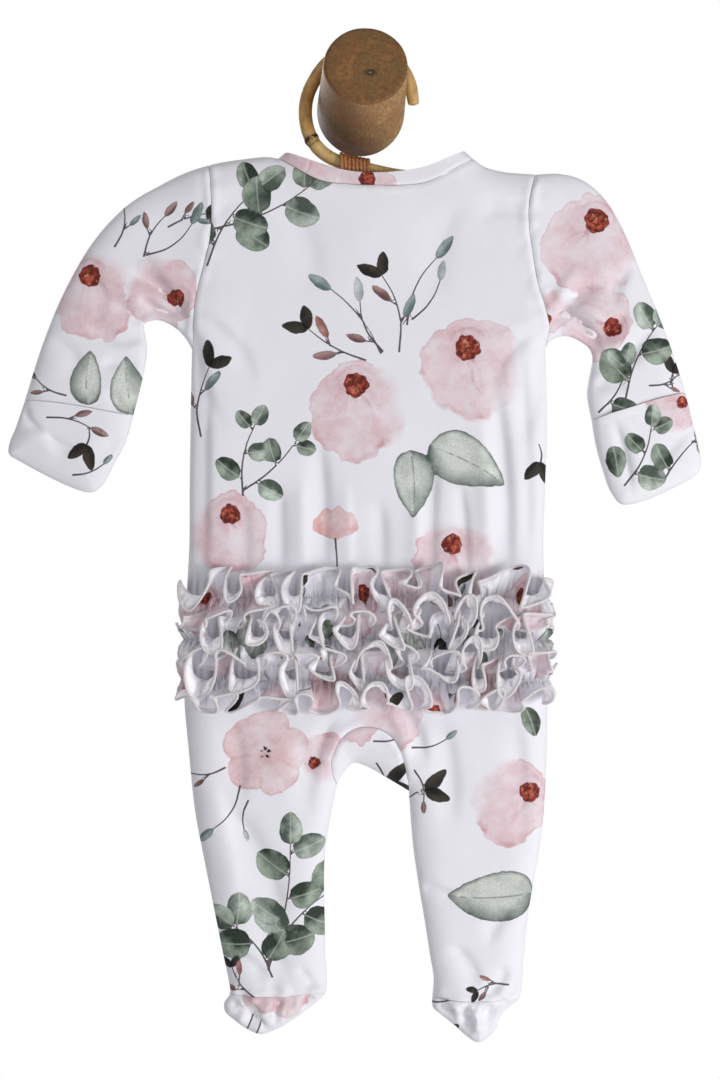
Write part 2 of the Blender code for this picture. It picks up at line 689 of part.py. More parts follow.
# ---------------------------------------------------------------- ruffles
def ruffle(name, height, up, down, flutes, start, lean):
    """A strip gathered along its middle, which lies on the back, with both free edges fluted outwards."""
    columns = flutes * RUFFLE_PER_FLUTE
    a = np.linspace(0, 1, columns + 1)

    def across(z):
        """Even steps round the back at a height, from side to side."""
        left, right = EDGES["side_left"], EDGES["side_right"]
        ends = (np.interp(-z, -left[:, 1], left[:, 0]), np.interp(z, right[:, 1], right[:, 0]))
        x = np.linspace(ends[0] + RUFFLE_END, ends[1] - RUFFLE_END, 900)
        base, _ = form(np.stack([x, np.full_like(x, z)], 1), BACK)
        girth = np.r_[0, np.cumsum(np.linalg.norm(np.diff(base, axis=0), axis=1))]
        return np.interp(a * girth[-1], girth, x)

    phase = 2 * math.pi * flutes * a + start + 0.9 * np.sin(2 * math.pi * a * 2.3 + start)
    rows = (-1.0, 0.0, 1.0)

    def sheet(v, phase):
        z = height + (up if v > 0 else down) * v
        place, normal = form(np.stack([across(z), np.full_like(a, z)], 1), BACK)
        wave = 0.5 - 0.5 * np.cos(phase + lean * v)
        lift = RUFFLE_OFF + abs(v) * (0.6 + RUFFLE_LIFT * wave)
        sway = abs(v) * RUFFLE_SWAY * np.sin(2 * (phase + lean * v))
        along = np.gradient(place, axis=0)
        along /= np.linalg.norm(along, axis=1)[:, None]
        return place + normal * lift[:, None] + along * sway[:, None]

    mid = np.array([sheet(v, phase) for v in rows])
    d_along = np.gradient(mid, axis=1)
    d_up = np.gradient(mid, axis=0)
    normal = np.cross(d_along, d_up)
    normal /= np.linalg.norm(normal, axis=2)[..., None]
    shape = mid.shape[:2]
    place = np.vstack([(mid + s * RUFFLE_CLOTH / 2 * normal).reshape(-1, 3) for s in (1, -1)])
    count = shape[0] * shape[1]

    def at(r, c, under=0):
        return r * shape[1] + c + under * count

    faces = []
    for r in range(shape[0] - 1):
        for c in range(shape[1] - 1):
            p, q, s, t = at(r, c), at(r, c + 1), at(r + 1, c + 1), at(r + 1, c)
            faces += [(p, q, s), (p, s, t)]
            faces += [(p + count, s + count, q + count), (p + count, t + count, s + count)]
    border = (
        [(at(0, c), at(0, c + 1)) for c in range(shape[1] - 1)]
        + [(at(r, shape[1] - 1), at(r + 1, shape[1] - 1)) for r in range(shape[0] - 1)]
        + [(at(shape[0] - 1, c + 1), at(shape[0] - 1, c)) for c in range(shape[1] - 1)]
        + [(at(r + 1, 0), at(r, 0)) for r in range(shape[0] - 1)]
    )
    for p, q in border:
        faces += [(q, p, p + count), (q, p + count, q + count)]
    add(name, place, faces, BLUSH)


for row in RUFFLES:
    ruffle(**row)


# ---------------------------------------------------------------- hanger and peg
def rod(name, centres, radii, sides, colour, rough):
    """A solid rod of round section along the centres, which lie near one x, z plane."""
    centres = np.asarray(centres, float)
    along = np.gradient(centres, axis=0)
    along /= np.linalg.norm(along, axis=1)[:, None]
    side = np.cross(along, [0, 1, 0])
    side /= np.linalg.norm(side, axis=1)[:, None]
    third = np.cross(side, along)
    n = len(centres)
    turn = np.arange(sides) * 2 * math.pi / sides
    place = [
        c + r * (math.cos(t) * s + math.sin(t) * u)
        for c, r, s, u in zip(centres, radii, side, third)
        for t in turn
    ]
    place += [centres[0], centres[-1]]
    faces = []
    for k in range(n - 1):
        for j in range(sides):
            a, b = k * sides + j, k * sides + (j + 1) % sides
            faces += [(a, b, b + sides), (a, b + sides, a + sides)]
    for j in range(sides):
        a, b = j, (j + 1) % sides
        faces += [(len(place) - 2, b, a), (len(place) - 1, (n - 1) * sides + a, (n - 1) * sides + b)]
    place = np.array(place)
    corners = place[np.array(faces)]
    if np.linalg.det(corners - centres.mean(0)).sum() < 0:
        faces = [(a, c, b) for a, b, c in faces]
    add(name, place, faces, colour, rough)


def from_peg(point):
    """(distance of a point from the peg's axis, unit direction away from it)."""
    axis = np.array(PEG_FACE) / np.linalg.norm(PEG_FACE)
    away = point - axis * (point @ axis)
    size = np.linalg.norm(away)
    return size, away / size


hook = smooth([(r["x"], r["y"], r["z"], r["thick"]) for r in HOOK], 6.0)
for row in hook:
    size, away = from_peg(row[:3])
    least = 28.0 + row[3] / 2 + 0.4
    if size < least:
        row[:3] += away * (least - size)
rod("hanger_hook", hook[:, :3], hook[:, 3] / 2, 12, CANE, 0.45)
bar = smooth([(r["x"], MID_Y, r["z"]) for r in BAR], 7.0)
rod("hanger_bar", bar, np.full(len(bar), BAR_THICK / 2), 12, CANE, 0.45)


def binding():
    """Cord wound round the hook's end and the bar, one body with a rib for each turn and a clear way through for both rods."""
    hook_at = np.argsort(hook[:, 0])
    stations = 2 * WRAPS + 1
    sides = 20
    place, faces = [], []
    for under in (0, 1):
        for k in range(stations):
            x = WRAP_FROM + (WRAP_TO - WRAP_FROM) * k / (stations - 1)
            low = hook[:, 2] < -25
            z_hook = np.interp(x, hook[low, 0], hook[low, 2])
            y_hook = np.interp(x, hook[low, 0], hook[low, 1])
            z_bar = np.interp(x, bar[:, 0], bar[:, 2])
            half = (z_hook - z_bar) / 2
            middle = np.array([x, (y_hook + MID_Y) / 2, (z_hook + z_bar) / 2])
            inner = BAR_THICK / 2 * 1.14 + SEAM
            radius = inner if under else inner + CORD * (1.0 if k % 2 else 0.62)
            for j in range(sides):
                t = 2 * math.pi * (j + 0.5) / sides
                up = half if math.sin(t) > 0 else -half
                place.append(middle + [0, radius * math.cos(t), radius * math.sin(t) + up])
    count = stations * sides
    for k in range(stations - 1):
        for j in range(sides):
            a, b = k * sides + j, k * sides + (j + 1) % sides
            quad = [(a, b, b + sides), (a, b + sides, a + sides)]
            faces += quad + [(r + count, q + count, p + count) for p, q, r in quad]
    for j in range(sides):
        a, b = j, (j + 1) % sides
        faces += [(b, a, a + count), (b, a + count, b + count)]
        a, b = a + count - sides, b + count - sides
        faces += [(a, b, b + count), (a, b + count, a + count)]
    place = np.array(place)
    if np.linalg.det(place[np.array(faces)] - place.mean(0)).sum() < 0:
        faces = [(a, c, b) for a, b, c in faces]
    add("hook_binding", place, faces, CORD_BROWN, 0.6)


binding()


def peg():
    """A round peg tilted up, cut flat where it meets the wall."""
    axis = np.array(PEG_FACE) / np.linalg.norm(PEG_FACE)
    across = np.cross(axis, [0, 0, 1])
    across /= np.linalg.norm(across)
    third = np.cross(across, axis)
    place = []
    for k, row in enumerate(PEG):
        for j in range(PEG_SIDES):
            t = 2 * math.pi * j / PEG_SIDES
            point = axis * row["along"] + row["radius"] * (math.cos(t) * across + math.sin(t) * third)
            if k == 0:
                point = point - axis * (point[1] / axis[1])
            place.append(point)
    place += [np.zeros(3), axis * PEG[-1]["along"]]
    faces = []
    for k in range(len(PEG) - 1):
        for j in range(PEG_SIDES):
            a, b = k * PEG_SIDES + j, k * PEG_SIDES + (j + 1) % PEG_SIDES
            faces += [(a, b, b + PEG_SIDES), (a, b + PEG_SIDES, a + PEG_SIDES)]
    last = (len(PEG) - 1) * PEG_SIDES
    for j in range(PEG_SIDES):
        a, b = j, (j + 1) % PEG_SIDES
        faces += [(len(place) - 2, b, a), (len(place) - 1, last + a, last + b)]
    place = np.array(place)
    place[np.abs(place[:, 1]) < 1e-6, 1] = 0
    if np.linalg.det(place[np.array(faces)] - place.mean(0)).sum() < 0:
        faces = [(a, c, b) for a, b, c in faces]
    add("wall_peg", place, faces, WOOD, 0.6)


peg()
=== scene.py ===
"""The looks of a baby's footed sleepsuit on a cane hanger. Sizes are millimetres in the tables and metres in the scene.

The cloth's form is the outline of the hanging suit, filled like a flat pillow, with seams, hems and creases laid on it.
The print is drawn by rule: each kind of flower or leaf is a function, and short tables place them. Every vertex of the
cloth keeps its distance from the nearest painted shapes, and the cloth's material draws their edges from that."""

import math

import bpy
import numpy as np
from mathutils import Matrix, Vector, kdtree
from mathutils.geometry import delaunay_2d_cdt


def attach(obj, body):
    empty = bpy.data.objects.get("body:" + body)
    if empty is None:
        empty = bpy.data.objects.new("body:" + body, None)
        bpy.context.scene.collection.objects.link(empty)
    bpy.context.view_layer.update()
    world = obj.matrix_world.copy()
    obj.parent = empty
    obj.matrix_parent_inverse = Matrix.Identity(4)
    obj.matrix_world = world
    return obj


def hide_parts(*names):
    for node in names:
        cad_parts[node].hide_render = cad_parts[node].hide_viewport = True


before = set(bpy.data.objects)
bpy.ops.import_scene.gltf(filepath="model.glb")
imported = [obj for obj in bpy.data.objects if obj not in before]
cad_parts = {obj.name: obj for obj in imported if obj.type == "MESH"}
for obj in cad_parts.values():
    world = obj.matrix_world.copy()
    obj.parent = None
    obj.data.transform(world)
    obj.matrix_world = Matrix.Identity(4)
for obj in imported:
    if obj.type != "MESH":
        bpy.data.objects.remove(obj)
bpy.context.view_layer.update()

CLOTH, SEAM, MID_Y, EDGE_ROUND = 1.5, 0.3, -15.0, 18.0
DEPTH_TORSO, DEPTH_SLEEVE, DEPTH_LEG, DEPTH_FOOT = 10.0, 7.5, 9.0, 12.0
FINE_STEP = 1.4
RIM_ROWS = (0.3, 0.8, 1.5, 2.5, 3.7, 5.2, 7.0)
SEAM_ROWS = (0.45, 1.1, 2.1)
PLACKET_X, PLACKET_WIDTH = 5.0, 15.0
SNAPS, SNAP_RADIUS, SNAP_HIGH = 7, 4.5, 1.3
BACK, FRONT = -1, 1


def table(columns, *rows):
    names = columns.split()
    return [dict(zip(names, row)) for row in rows]


# ---------------------------------------------------------------- the suit's sizes, as in the solids
NECK = table(
    "place x back_top back_seam front_top front_seam",
    ("left_quarter", -26.0, -36.6, -47.4, -54.5, -65.0),
    ("left_middle", -8.0, -41.6, -49.9, -63.0, -71.8),
    ("middle", 8.0, -42.7, -50.5, -66.0, -73.6),
    ("right_middle", 24.0, -41.8, -50.6, -63.6, -71.6),
    ("right_quarter", 42.0, -38.2, -48.2, -53.5, -64.5),
)
NECK_SIDE = table(
    "side top_x top_z seam_x seam_z",
    ("left", -47.9, -28.8, -52.3, -32.6),
    ("right", 65.3, -28.0, 70.9, -32.9),
)
SHOULDER = table(
    "place left_x left_z right_x right_z",
    ("inner", -59.2, -31.6, 77.5, -37.6),
    ("middle", -75.6, -33.2, 88.2, -40.8),
    ("outer", -86.0, -34.7, 99.5, -42.0),
)
SLEEVE_LEFT = table(
    "section outer_x outer_z inner_x inner_z",
    ("head", -95.4, -36.7, -106.5, -152.6),
    ("cap", -111.5, -41.9, -111.5, -144.6),
    ("bicep", -128.5, -50.5, -118.5, -138.2),
    ("upper", -144.9, -60.2, -128.0, -134.4),
    ("above_elbow", -160.2, -74.4, -136.4, -136.8),
    ("elbow", -172.0, -89.6, -136.0, -144.0),
    ("below_elbow", -181.3, -105.5, -134.8, -151.5),
    ("forearm", -190.5, -124.0, -135.6, -161.0),
    ("lower", -201.5, -152.0, -139.0, -177.1),
    ("wrist", -212.0, -185.3, -143.6, -194.8),
)
SLEEVE_RIGHT = table(
    "section outer_x outer_z inner_x inner_z",
    ("head", 109.6, -42.6, 115.9, -151.9),
    ("cap", 124.5, -42.2, 119.5, -147.5),
    ("bicep", 137.0, -45.0, 125.0, -144.8),
    ("upper", 147.4, -51.6, 131.5, -144.8),
    ("above_elbow", 156.8, -62.5, 138.0, -147.8),
    ("elbow", 167.0, -81.4, 143.6, -152.0),
    ("below_elbow", 177.0, -106.0, 145.8, -158.0),
    ("forearm", 186.5, -128.5, 144.6, -166.5),
    ("lower", 196.5, -155.0, 142.4, -181.0),
    ("wrist", 204.3, -180.0, 145.3, -197.9),
)
MITTEN_LEFT = table(
    "section outer_x outer_z inner_x inner_z",
    ("palm", -217.4, -201.5, -148.3, -211.2),
    ("knuckles", -221.6, -212.0, -155.8, -225.4),
    ("tip", -221.9, -218.6, -163.3, -238.9),
    ("end", -216.3, -222.6, -170.8, -243.0),
)
MITTEN_RIGHT = table(
    "section outer_x outer_z inner_x inner_z",
    ("palm", 208.6, -197.5, 147.6, -212.0),
    ("knuckles", 212.6, -214.0, 152.0, -228.0),
    ("tip", 214.2, -226.5, 157.6, -243.0),
    ("end", 209.4, -233.0, 165.2, -250.6),
)
MITTEN_EDGE = table(
    "place left_x left_z right_x right_z",
    ("outer", -197.0, -186.0, 189.0, -183.4),
    ("middle", -180.0, -188.2, 171.5, -188.8),
    ("inner", -162.0, -191.4, 157.5, -193.2),
)
ARMHOLE = table(
    "place left_x left_z right_x right_z",
    ("top", -94.3, -49.6, 106.0, -58.0),
    ("upper", -93.7, -67.0, 105.3, -73.2),
    ("middle", -94.9, -84.5, 107.9, -93.9),
    ("lower", -98.9, -101.5, 111.2, -112.9),
    ("bend", -103.0, -118.0, 116.0, -128.0),
    ("bottom", -105.2, -135.0, 118.4, -141.0),
)
BODY = table(
    "height left right",
    (-170.0, -106.9, 116.6),
    (-205.0, -107.5, 117.2),
    (-240.0, -108.0, 116.0),
    (-275.0, -108.2, 114.9),
    (-310.0, -110.0, 115.8),
    (-345.0, -111.2, 116.9),
    (-375.0, -111.2, 117.4),
    (-405.0, -108.6, 117.0),
)
LEGS = table(
    "height left_outer left_inner right_inner right_outer",
    (-444.0, -104.5, -18.6, 31.0, 115.2),
    (-467.0, -100.2, -22.4, 33.0, 112.4),
    (-489.0, -95.8, -23.3, 36.2, 108.6),
    (-512.0, -91.2, -22.8, 40.0, 104.8),
    (-535.0, -86.6, -22.4, 43.6, 102.6),
    (-549.0, -83.6, -21.4, 45.8, 101.6),
)
ANKLE = table(
    "side outer_x outer_z middle_x middle_z inner_x inner_z",
    ("left", -82.6, -558.5, -52.0, -559.6, -22.6, -558.2),
    ("right", 99.4, -562.0, 72.0, -562.6, 45.0, -560.4),
)
FOOT_LEFT = table(
    "height outer inner",
    (-564.5, -86.2, -28.5),
    (-570.0, -85.6, -35.8),
    (-575.5, -79.6, -43.5),
    (-580.5, -72.4, -52.0),
)
FOOT_RIGHT = table(
    "height outer inner",
    (-567.0, 93.4, 45.2),
    (-573.0, 87.8, 52.0),
    (-579.5, 85.4, 60.0),
    (-585.5, 80.8, 66.5),
)
TOE = table("side x z", ("left", -63.2, -584.2), ("right", 73.8, -589.4))
CROTCH = table(
    "place x fold arch",
    ("far_left", -12.2, -420.8, -398.0),
    ("left", -4.6, -413.4, -391.7),
    ("middle", 5.0, -416.2, -390.2),
    ("right", 15.5, -422.2, -393.4),
    ("far_right", 23.5, -427.0, -402.0),
)
CROTCH_END = table("side x z", ("left", -15.3, -427.0), ("right", 30.2, -431.0))
CROTCH_SIDE = table("side x z", ("left", -18.0, -412.0), ("right", 27.6, -416.0))
HOOK = table(
    "place x z y thick",
    ("cut_end", 33.4, 1.6, -11.0, 7.2),
    ("right", 31.6, 11.0, -11.0, 8.0),
    ("upper_right", 26.8, 21.8, -11.0, 8.8),
    ("top_right", 17.0, 31.0, -11.0, 9.2),
    ("top", 2.0, 36.4, -11.0, 9.2),
    ("top_left", -14.2, 33.0, -11.0, 9.2),
    ("upper_left", -26.6, 21.8, -11.0, 9.2),
    ("left", -33.6, 8.6, -11.0, 9.0),
    ("lower_left", -35.3, -4.2, -11.2, 9.0),
    ("node", -32.6, -17.0, -11.8, 9.2),
    ("turn", -25.6, -27.2, -13.2, 8.8),
    ("bound", -14.0, -34.4, -14.6, 8.4),
    ("bound_end", 6.9, -39.2, -15.0, 7.2),
    ("taper", 21.4, -41.7, -15.0, 6.0),
    ("tip", 31.5, -42.3, -15.0, 4.6),
)
BAR = table(
    "place x z",
    ("left_end", -105.0, -49.8),
    ("left", -94.0, -45.8),
    ("left_arm", -69.9, -41.4),
    ("left_neck", -38.4, -41.0),
    ("bound", -14.0, -45.4),
    ("middle", 6.9, -48.0),
    ("right_bound", 24.0, -50.2),
    ("right_neck", 52.0, -47.2),
    ("right_arm", 76.0, -47.6),
    ("right", 96.0, -50.0),
    ("right_end", 115.0, -52.6),
)
BAR_THICK = 8.4
WRAPS, WRAP_FROM, WRAP_TO, CORD = 8, -14.0, 7.5, 1.5
PEG = table(
    "place along radius",
    ("wall", 0.0, 27.9),
    ("body", 30.0, 27.0),
    ("shoulder", 64.5, 26.0),
    ("rim", 67.2, 24.6),
)
PEG_FACE = (3.05, -65.0, 17.0)

# ---------------------------------------------------------------- creases
# A crease runs from (x0, z0) to (x1, z1), bent sideways at its middle. A trough has a negative depth, a ridge a positive one.
BACK_FOLDS = table(
    "x0 z0 x1 z1 bend width depth",
    (84, -176, 91, -298, 3, 6.0, -2.4),
    (75, -200, 79, -296, 2, 5.0, 1.5),
    (100, -150, 105, -296, 2, 5.0, -1.3),
    (62, -236, 66, -300, 1, 4.0, -1.3),
    (47, -218, 45, -300, -2, 5.0, -1.7),
    (36, -240, 35, -300, 0, 4.0, 1.0),
    (11, -246, 13, -300, 1, 5.0, -1.2),
    (-10, -236, -8, -300, 1, 4.5, 0.9),
    (-27, -208, -24, -300, 2, 6.0, -2.0),
    (-37, -232, -36, -298, 0, 5.0, 1.2),
    (-51, -236, -50, -298, 0, 5.0, -1.3),
    (-74, -246, -73, -298, 1, 5.0, -0.9),
    (-97, -176, -99, -298, 0, 4.5, -1.2),
    (-105, -131, -66, -176, 7, 6.0, -1.1),
    (-103, -126, -74, -152, 4, 5.0, 0.5),
    (-104, -140, -86, -204, -5, 6.0, -1.1),
    (113, -139, 80, -184, -7, 6.0, -1.0),
    (112, -132, 88, -158, -4, 5.0, 0.4),
    (113, -150, 98, -214, 5, 6.0, -1.0),
    (-48, -58, -30, -118, 6, 9.0, -0.9),
    (62, -60, 48, -122, -6, 9.0, -0.9),
    (-93, -60, -60, -66, 3, 7.0, -0.8),
    (105, -66, 74, -70, -3, 7.0, -0.9),
    (-88, -436, -50, -520, 8, 9.0, -2.2),
    (-98, -420, -78, -506, 5, 7.0, 1.2),
    (-80, -386, -76, -440, 2, 6.0, -1.2),
    (-40, -392, -34, -450, 3, 7.0, -1.2),
    (-62, -500, -44, -548, -4, 6.0, -1.2),
    (-84, -530, -58, -550, 3, 4.0, -1.3),
    (-40, -540, -28, -556, 1, 3.5, -1.0),
    (14, -374, 30, -410, 4, 3.5, 1.5),
    (21, -372, 40, -414, 4, 5.0, -1.8),
    (-16, -384, -30, -428, -4, 4.5, -1.4),
    (50, -384, 56, -452, 3, 7.0, -1.3),
    (96, -384, 100, -470, 3, 6.0, -1.1),
    (36, -490, 62, -500, 2, 4.0, -1.2),
    (100, -500, 78, -528, -3, 5.0, -1.1),
    (56, -526, 74, -553, 3, 5.0, -1.3),
    (92, -540, 80, -558, 2, 4.0, -1.2),
)
FRONT_FOLDS = table(
    "x0 z0 x1 z1 bend width depth",
    (-104, -132, -62, -180, -7, 6.0, -2.0),
    (-100, -150, -84, -228, 5, 6.0, -1.4),
    (113, -140, 74, -182, 7, 6.0, -2.0),
    (112, -158, 96, -236, -5, 6.0, -1.4),
    (-56, -62, -22, -126, -5, 8.0, -1.1),
    (66, -62, 34, -126, 5, 8.0, -1.1),
    (-48, -210, -40, -330, 4, 8.0, -1.5),
    (52, -220, 46, -346, -4, 8.0, -1.5),
    (-84, -250, -78, -372, 3, 7.0, -1.2),
    (88, -246, 84, -370, -3, 7.0, -1.2),
    (-8, -352, -16, -408, 3, 6.0, -1.5),
    (16, -352, 26, -410, -3, 6.0, -1.5),
    (-86, -430, -48, -510, 6, 9.0, -1.9),
    (96, -424, 56, -506, -6, 9.0, -1.9),
    (-80, -526, -50, -548, 3, 5.0, -1.3),
    (94, -528, 62, -550, -3, 5.0, -1.3),
)
SLEEVE_FOLDS = table(
    "x0 z0 x1 z1 bend width depth",
    (-109, -140, -146, -104, -6, 4.5, -2.9),
    (-113, -133, -140, -121, 3, 3.5, -2.2),
    (-112, -134, -134, -92, -4, 5.0, 1.0),
    (-124, -136, -162, -118, 5, 5.0, -2.0),
    (-136, -147, -172, -138, 4, 4.5, -1.5),
    (-138, -166, -164, -164, -3, 4.0, -1.1),
    (-176, -104, -160, -132, 4, 5.0, -1.1),
    (-196, -146, -176, -172, 5, 6.0, -1.1),
    (-158, -178, -150, -192, 1, 4.0, -0.9),
    (119, -142, 152, -112, 6, 4.5, -2.9),
    (121, -127, 149, -151, 3, 4.5, -3.0),
    (124, -120, 156, -138, 3, 4.0, 1.4),
    (121, -138, 140, -98, 4, 5.0, 1.0),
    (132, -146, 168, -130, -5, 5.0, -2.0),
    (145, -158, 176, -150, -4, 4.5, -1.5),
    (146, -176, 168, -176, 3, 4.0, -1.1),
    (172, -100, 158, -128, -4, 5.0, -1.1),
    (188, -138, 170, -166, -5, 6.0, -1.1),
    (160, -184, 156, -196, 1, 4.0, -0.9),
)
MITTEN_FOLDS = table(
    "x0 z0 x1 z1 bend width depth",
    (-211, -187, -198, -205, -4, 3.0, -1.5),
    (-198, -205, -176, -216, -3, 3.0, -1.5),
    (-214, -204, -190, -222, 3, 5.0, 0.8),
    (-152, -208, -172, -226, 2, 5.0, -1.0),
    (158, -196, 170, -246, 2, 3.2, -1.4),
    (166, -198, 178, -240, 1, 4.0, 0.7),
    (208, -204, 190, -226, -3, 5.0, -1.0),
)
FOOT_FOLDS = table(
    "x0 z0 x1 z1 bend width depth",
    (-84, -562, -66, -579, 3, 3.0, -2.2),
    (-78, -560, -74, -578, 2, 2.4, 1.2),
    (-70, -561, -58, -581, -2, 3.0, -1.8),
    (-58, -561, -56, -578, 2, 2.6, 1.1),
    (-48, -560, -54, -578, -2, 3.0, -2.0),
    (-38, -560, -46, -574, 2, 2.4, 1.1),
    (-28, -560, -38, -569, 1, 2.6, -1.6),
    (-84, -568, -60, -570, 2, 3.0, -1.2),
    (96, -565, 84, -580, -3, 3.0, -2.2),
    (90, -564, 88, -576, 2, 2.4, 1.2),
    (82, -564, 78, -586, 2, 3.0, -1.9),
    (74, -564, 75, -582, -2, 2.4, 1.2),
    (66, -563, 70, -583, -2, 3.0, -2.1),
    (57, -562, 62, -578, 2, 2.4, 1.0),
    (50, -562, 56, -572, 1, 2.8, -1.6),
    (60, -572, 84, -570, -2, 3.0, -1.3),
)

FOLD_DEPTH = {"back": 1.8, "front": 1.6, "sleeve": 2.1, "mitten": 1.6, "foot": 2.3}

# ---------------------------------------------------------------- the print
PRINT_BACK = table(
    "kind x z size angle seed",
    ("rose", -2, -191, 33, 94, 1),
    ("rose", 69, -168, 34, 98, 2),
    ("rose", -84, -269, 27, 80, 3),
    ("rose", 57, -288, 27, 90, 4),
    ("rose", -22, -410, 17, 200, 8),
    ("rose", 15, -379, 25, 60, 5),
    ("rose", 95, -437, 27, 30, 6),
    ("bloom", -60, -406, 28, 10, 7),
    ("poppy", -16, -266, 30, 90, 33),
    ("twig_dark", 2, -160, 50, 151, 11),
    ("twig_sage", 12, -155, 62, 128, 12),
    ("twig_pale", 13, -154, 42, 114, 13),
    ("twig_dark", 24, -154, 60, 103, 14),
    ("twig_sage", 29, -137, 56, 66, 15),
    ("twig_pale", 33, -134, 36, 55, 16),
    ("twig_dark", -101, -207, 54, 82, 17),
    ("gum", -96, -100, 58, 56, 21),
    ("gum", -92, -78, 66, 24, 22),
    ("gum_small", -74, -244, 44, 80, 23),
    ("gum_small", -74, -242, 46, 43, 24),
    ("big_leaf", 31, -217, 42, 272, 31),
    ("big_leaf", 43, -214, 53, -27, 32),
    ("twin", 113, -224, 17, 262, 34),
    ("twig_sage", -76, -428, 38, 238, 41),
    ("twig_pale", -71, -437, 22, 262, 42),
    ("twig_mauve", -86, -416, 26, 190, 43),
    ("gum", -58, -542, 80, 80, 44),
    ("gum", -54, -530, 50, 46, 45),
    ("gum", -56, -546, 40, 128, 46),
    ("twig_dark", -66, -560, 30, 128, 47),
    ("twin", 40, -430, 19, 14, 51),
    ("twig_sage", 33, -403, 26, 14, 52),
    ("big_leaf", 108, -494, 54, 182, 53),
    ("leaf_green", 103, -378, 19, -70, 54),
    ("twig_mauve", 34, -418, 24, 286, 55),
    ("twig_dark", 92, -552, 24, 190, 56),
)
PRINT_SLEEVES = table(
    "kind x z size angle seed",
    ("rose", -167, -120, 29, 104, 61),
    ("rose", -127, -119, 24, -12, 62),
    ("twig_mauve", -136, -94, 34, 62, 63),
    ("twig_sage", -134, -94, 42, 34, 64),
    ("twig_dark", -120, -76, 30, 18, 65),
    ("twig_mauve", -154, -88, 30, 78, 66),
    ("big_leaf", -172, -188, 34, 86, 67),
    ("big_leaf", -143, -194, 37, 97, 68),
    ("twig_mauve", -186, -182, 26, 150, 69),
    ("rose", 143, -87, 33, 72, 71),
    ("rose", 147, -136, 25, -18, 72),
    ("rose", 120, -130, 13, 230, 77),
    ("gum", 166, -184, 50, 66, 73),
    ("gum_small", 150, -192, 34, 60, 74),
    ("twin", 196, -168, 15, 80, 75),
    ("twig_mauve", 182, -176, 22, 20, 76),
)
PRINT_MITTENS = table(
    "kind x z size angle seed",
    ("twig_mauve", -196, -196, 34, -14, 81),
    ("twin", -172, -213, 17, 250, 82),
    ("twig_sage", -180, -232, 24, 20, 86),
    ("rose", 194, -188, 17, 10, 83),
    ("gum_small", 166, -238, 40, 66, 84),
    ("gum_small", 190, -236, 34, 52, 85),
    ("leaf_green", 158, -214, 20, -80, 87),
)
PRINT_NECK = table(
    "kind x z size angle seed",
    ("rose", -30, -40, 27, 90, 91),
    ("rose", 4, -57, 22, 90, 92),
    ("rose", 20, -72, 24, 180, 94),
)
RIBBONS = table(
    "name height up down flutes start fullness print_at",
    ("ruffle_top", -308.8, 19.5, 21.5, 10.2, 0.4, 2.4, -178.0),
    ("ruffle_middle", -335.4, 19.5, 20.5, 10.8, 2.6, 2.4, -226.0),
    ("ruffle_bottom", -361.0, 20.5, 20.5, 9.8, 4.3, 2.4, -408.0),
)


# ---------------------------------------------------------------- curves and form
def pick(rows, *pairs):
    return [(row[a], row[b]) for a, b in pairs for row in rows]


def smooth(points, step=FINE_STEP):
    """A curve through the points, centripetal Catmull-Rom, at an even step."""
    p = np.array(points, float)
    p = np.vstack([2 * p[0] - p[1], p, 2 * p[-1] - p[-2]])
    out = []
    for a, b, c, d in zip(p, p[1:], p[2:], p[3:]):
        t1 = np.linalg.norm(b - a) ** 0.5
        t2 = t1 + np.linalg.norm(c - b) ** 0.5
        t3 = t2 + np.linalg.norm(d - c) ** 0.5
        t = np.linspace(t1, t2, 24, endpoint=False)[:, None]
        ab, bc, cd = (
            a + (b - a) * t / t1,
            b + (c - b) * (t - t1) / (t2 - t1),
            c + (d - c) * (t - t2) / (t3 - t2),
        )
        abc = ab + (bc - ab) * t / t2
        bcd = bc + (cd - bc) * (t - t1) / (t3 - t1)
        out.append(abc + (bcd - abc) * (t - t1) / (t2 - t1))
    out = np.vstack(out + [p[-2:-1]])
    along = np.r_[0, np.cumsum(np.linalg.norm(np.diff(out, axis=0), axis=1))]
    steps = max(2, int(round(along[-1] / step)))
    at = np.linspace(0, along[-1], steps + 1)
    return np.stack([np.interp(at, along, out[:, k]) for k in range(p.shape[1])], 1)


def split(curve, *marks):
    cuts = [0]
    for mark in marks:
        k = int(np.argmin(np.linalg.norm(curve - np.array(mark), axis=1)))
        curve[k] = mark
        cuts.append(k)
    cuts.append(len(curve) - 1)
    return [curve[a : b + 1] for a, b in zip(cuts, cuts[1:])]


def by_side(rows, side):
    return next(row for row in rows if row["side"] == side)


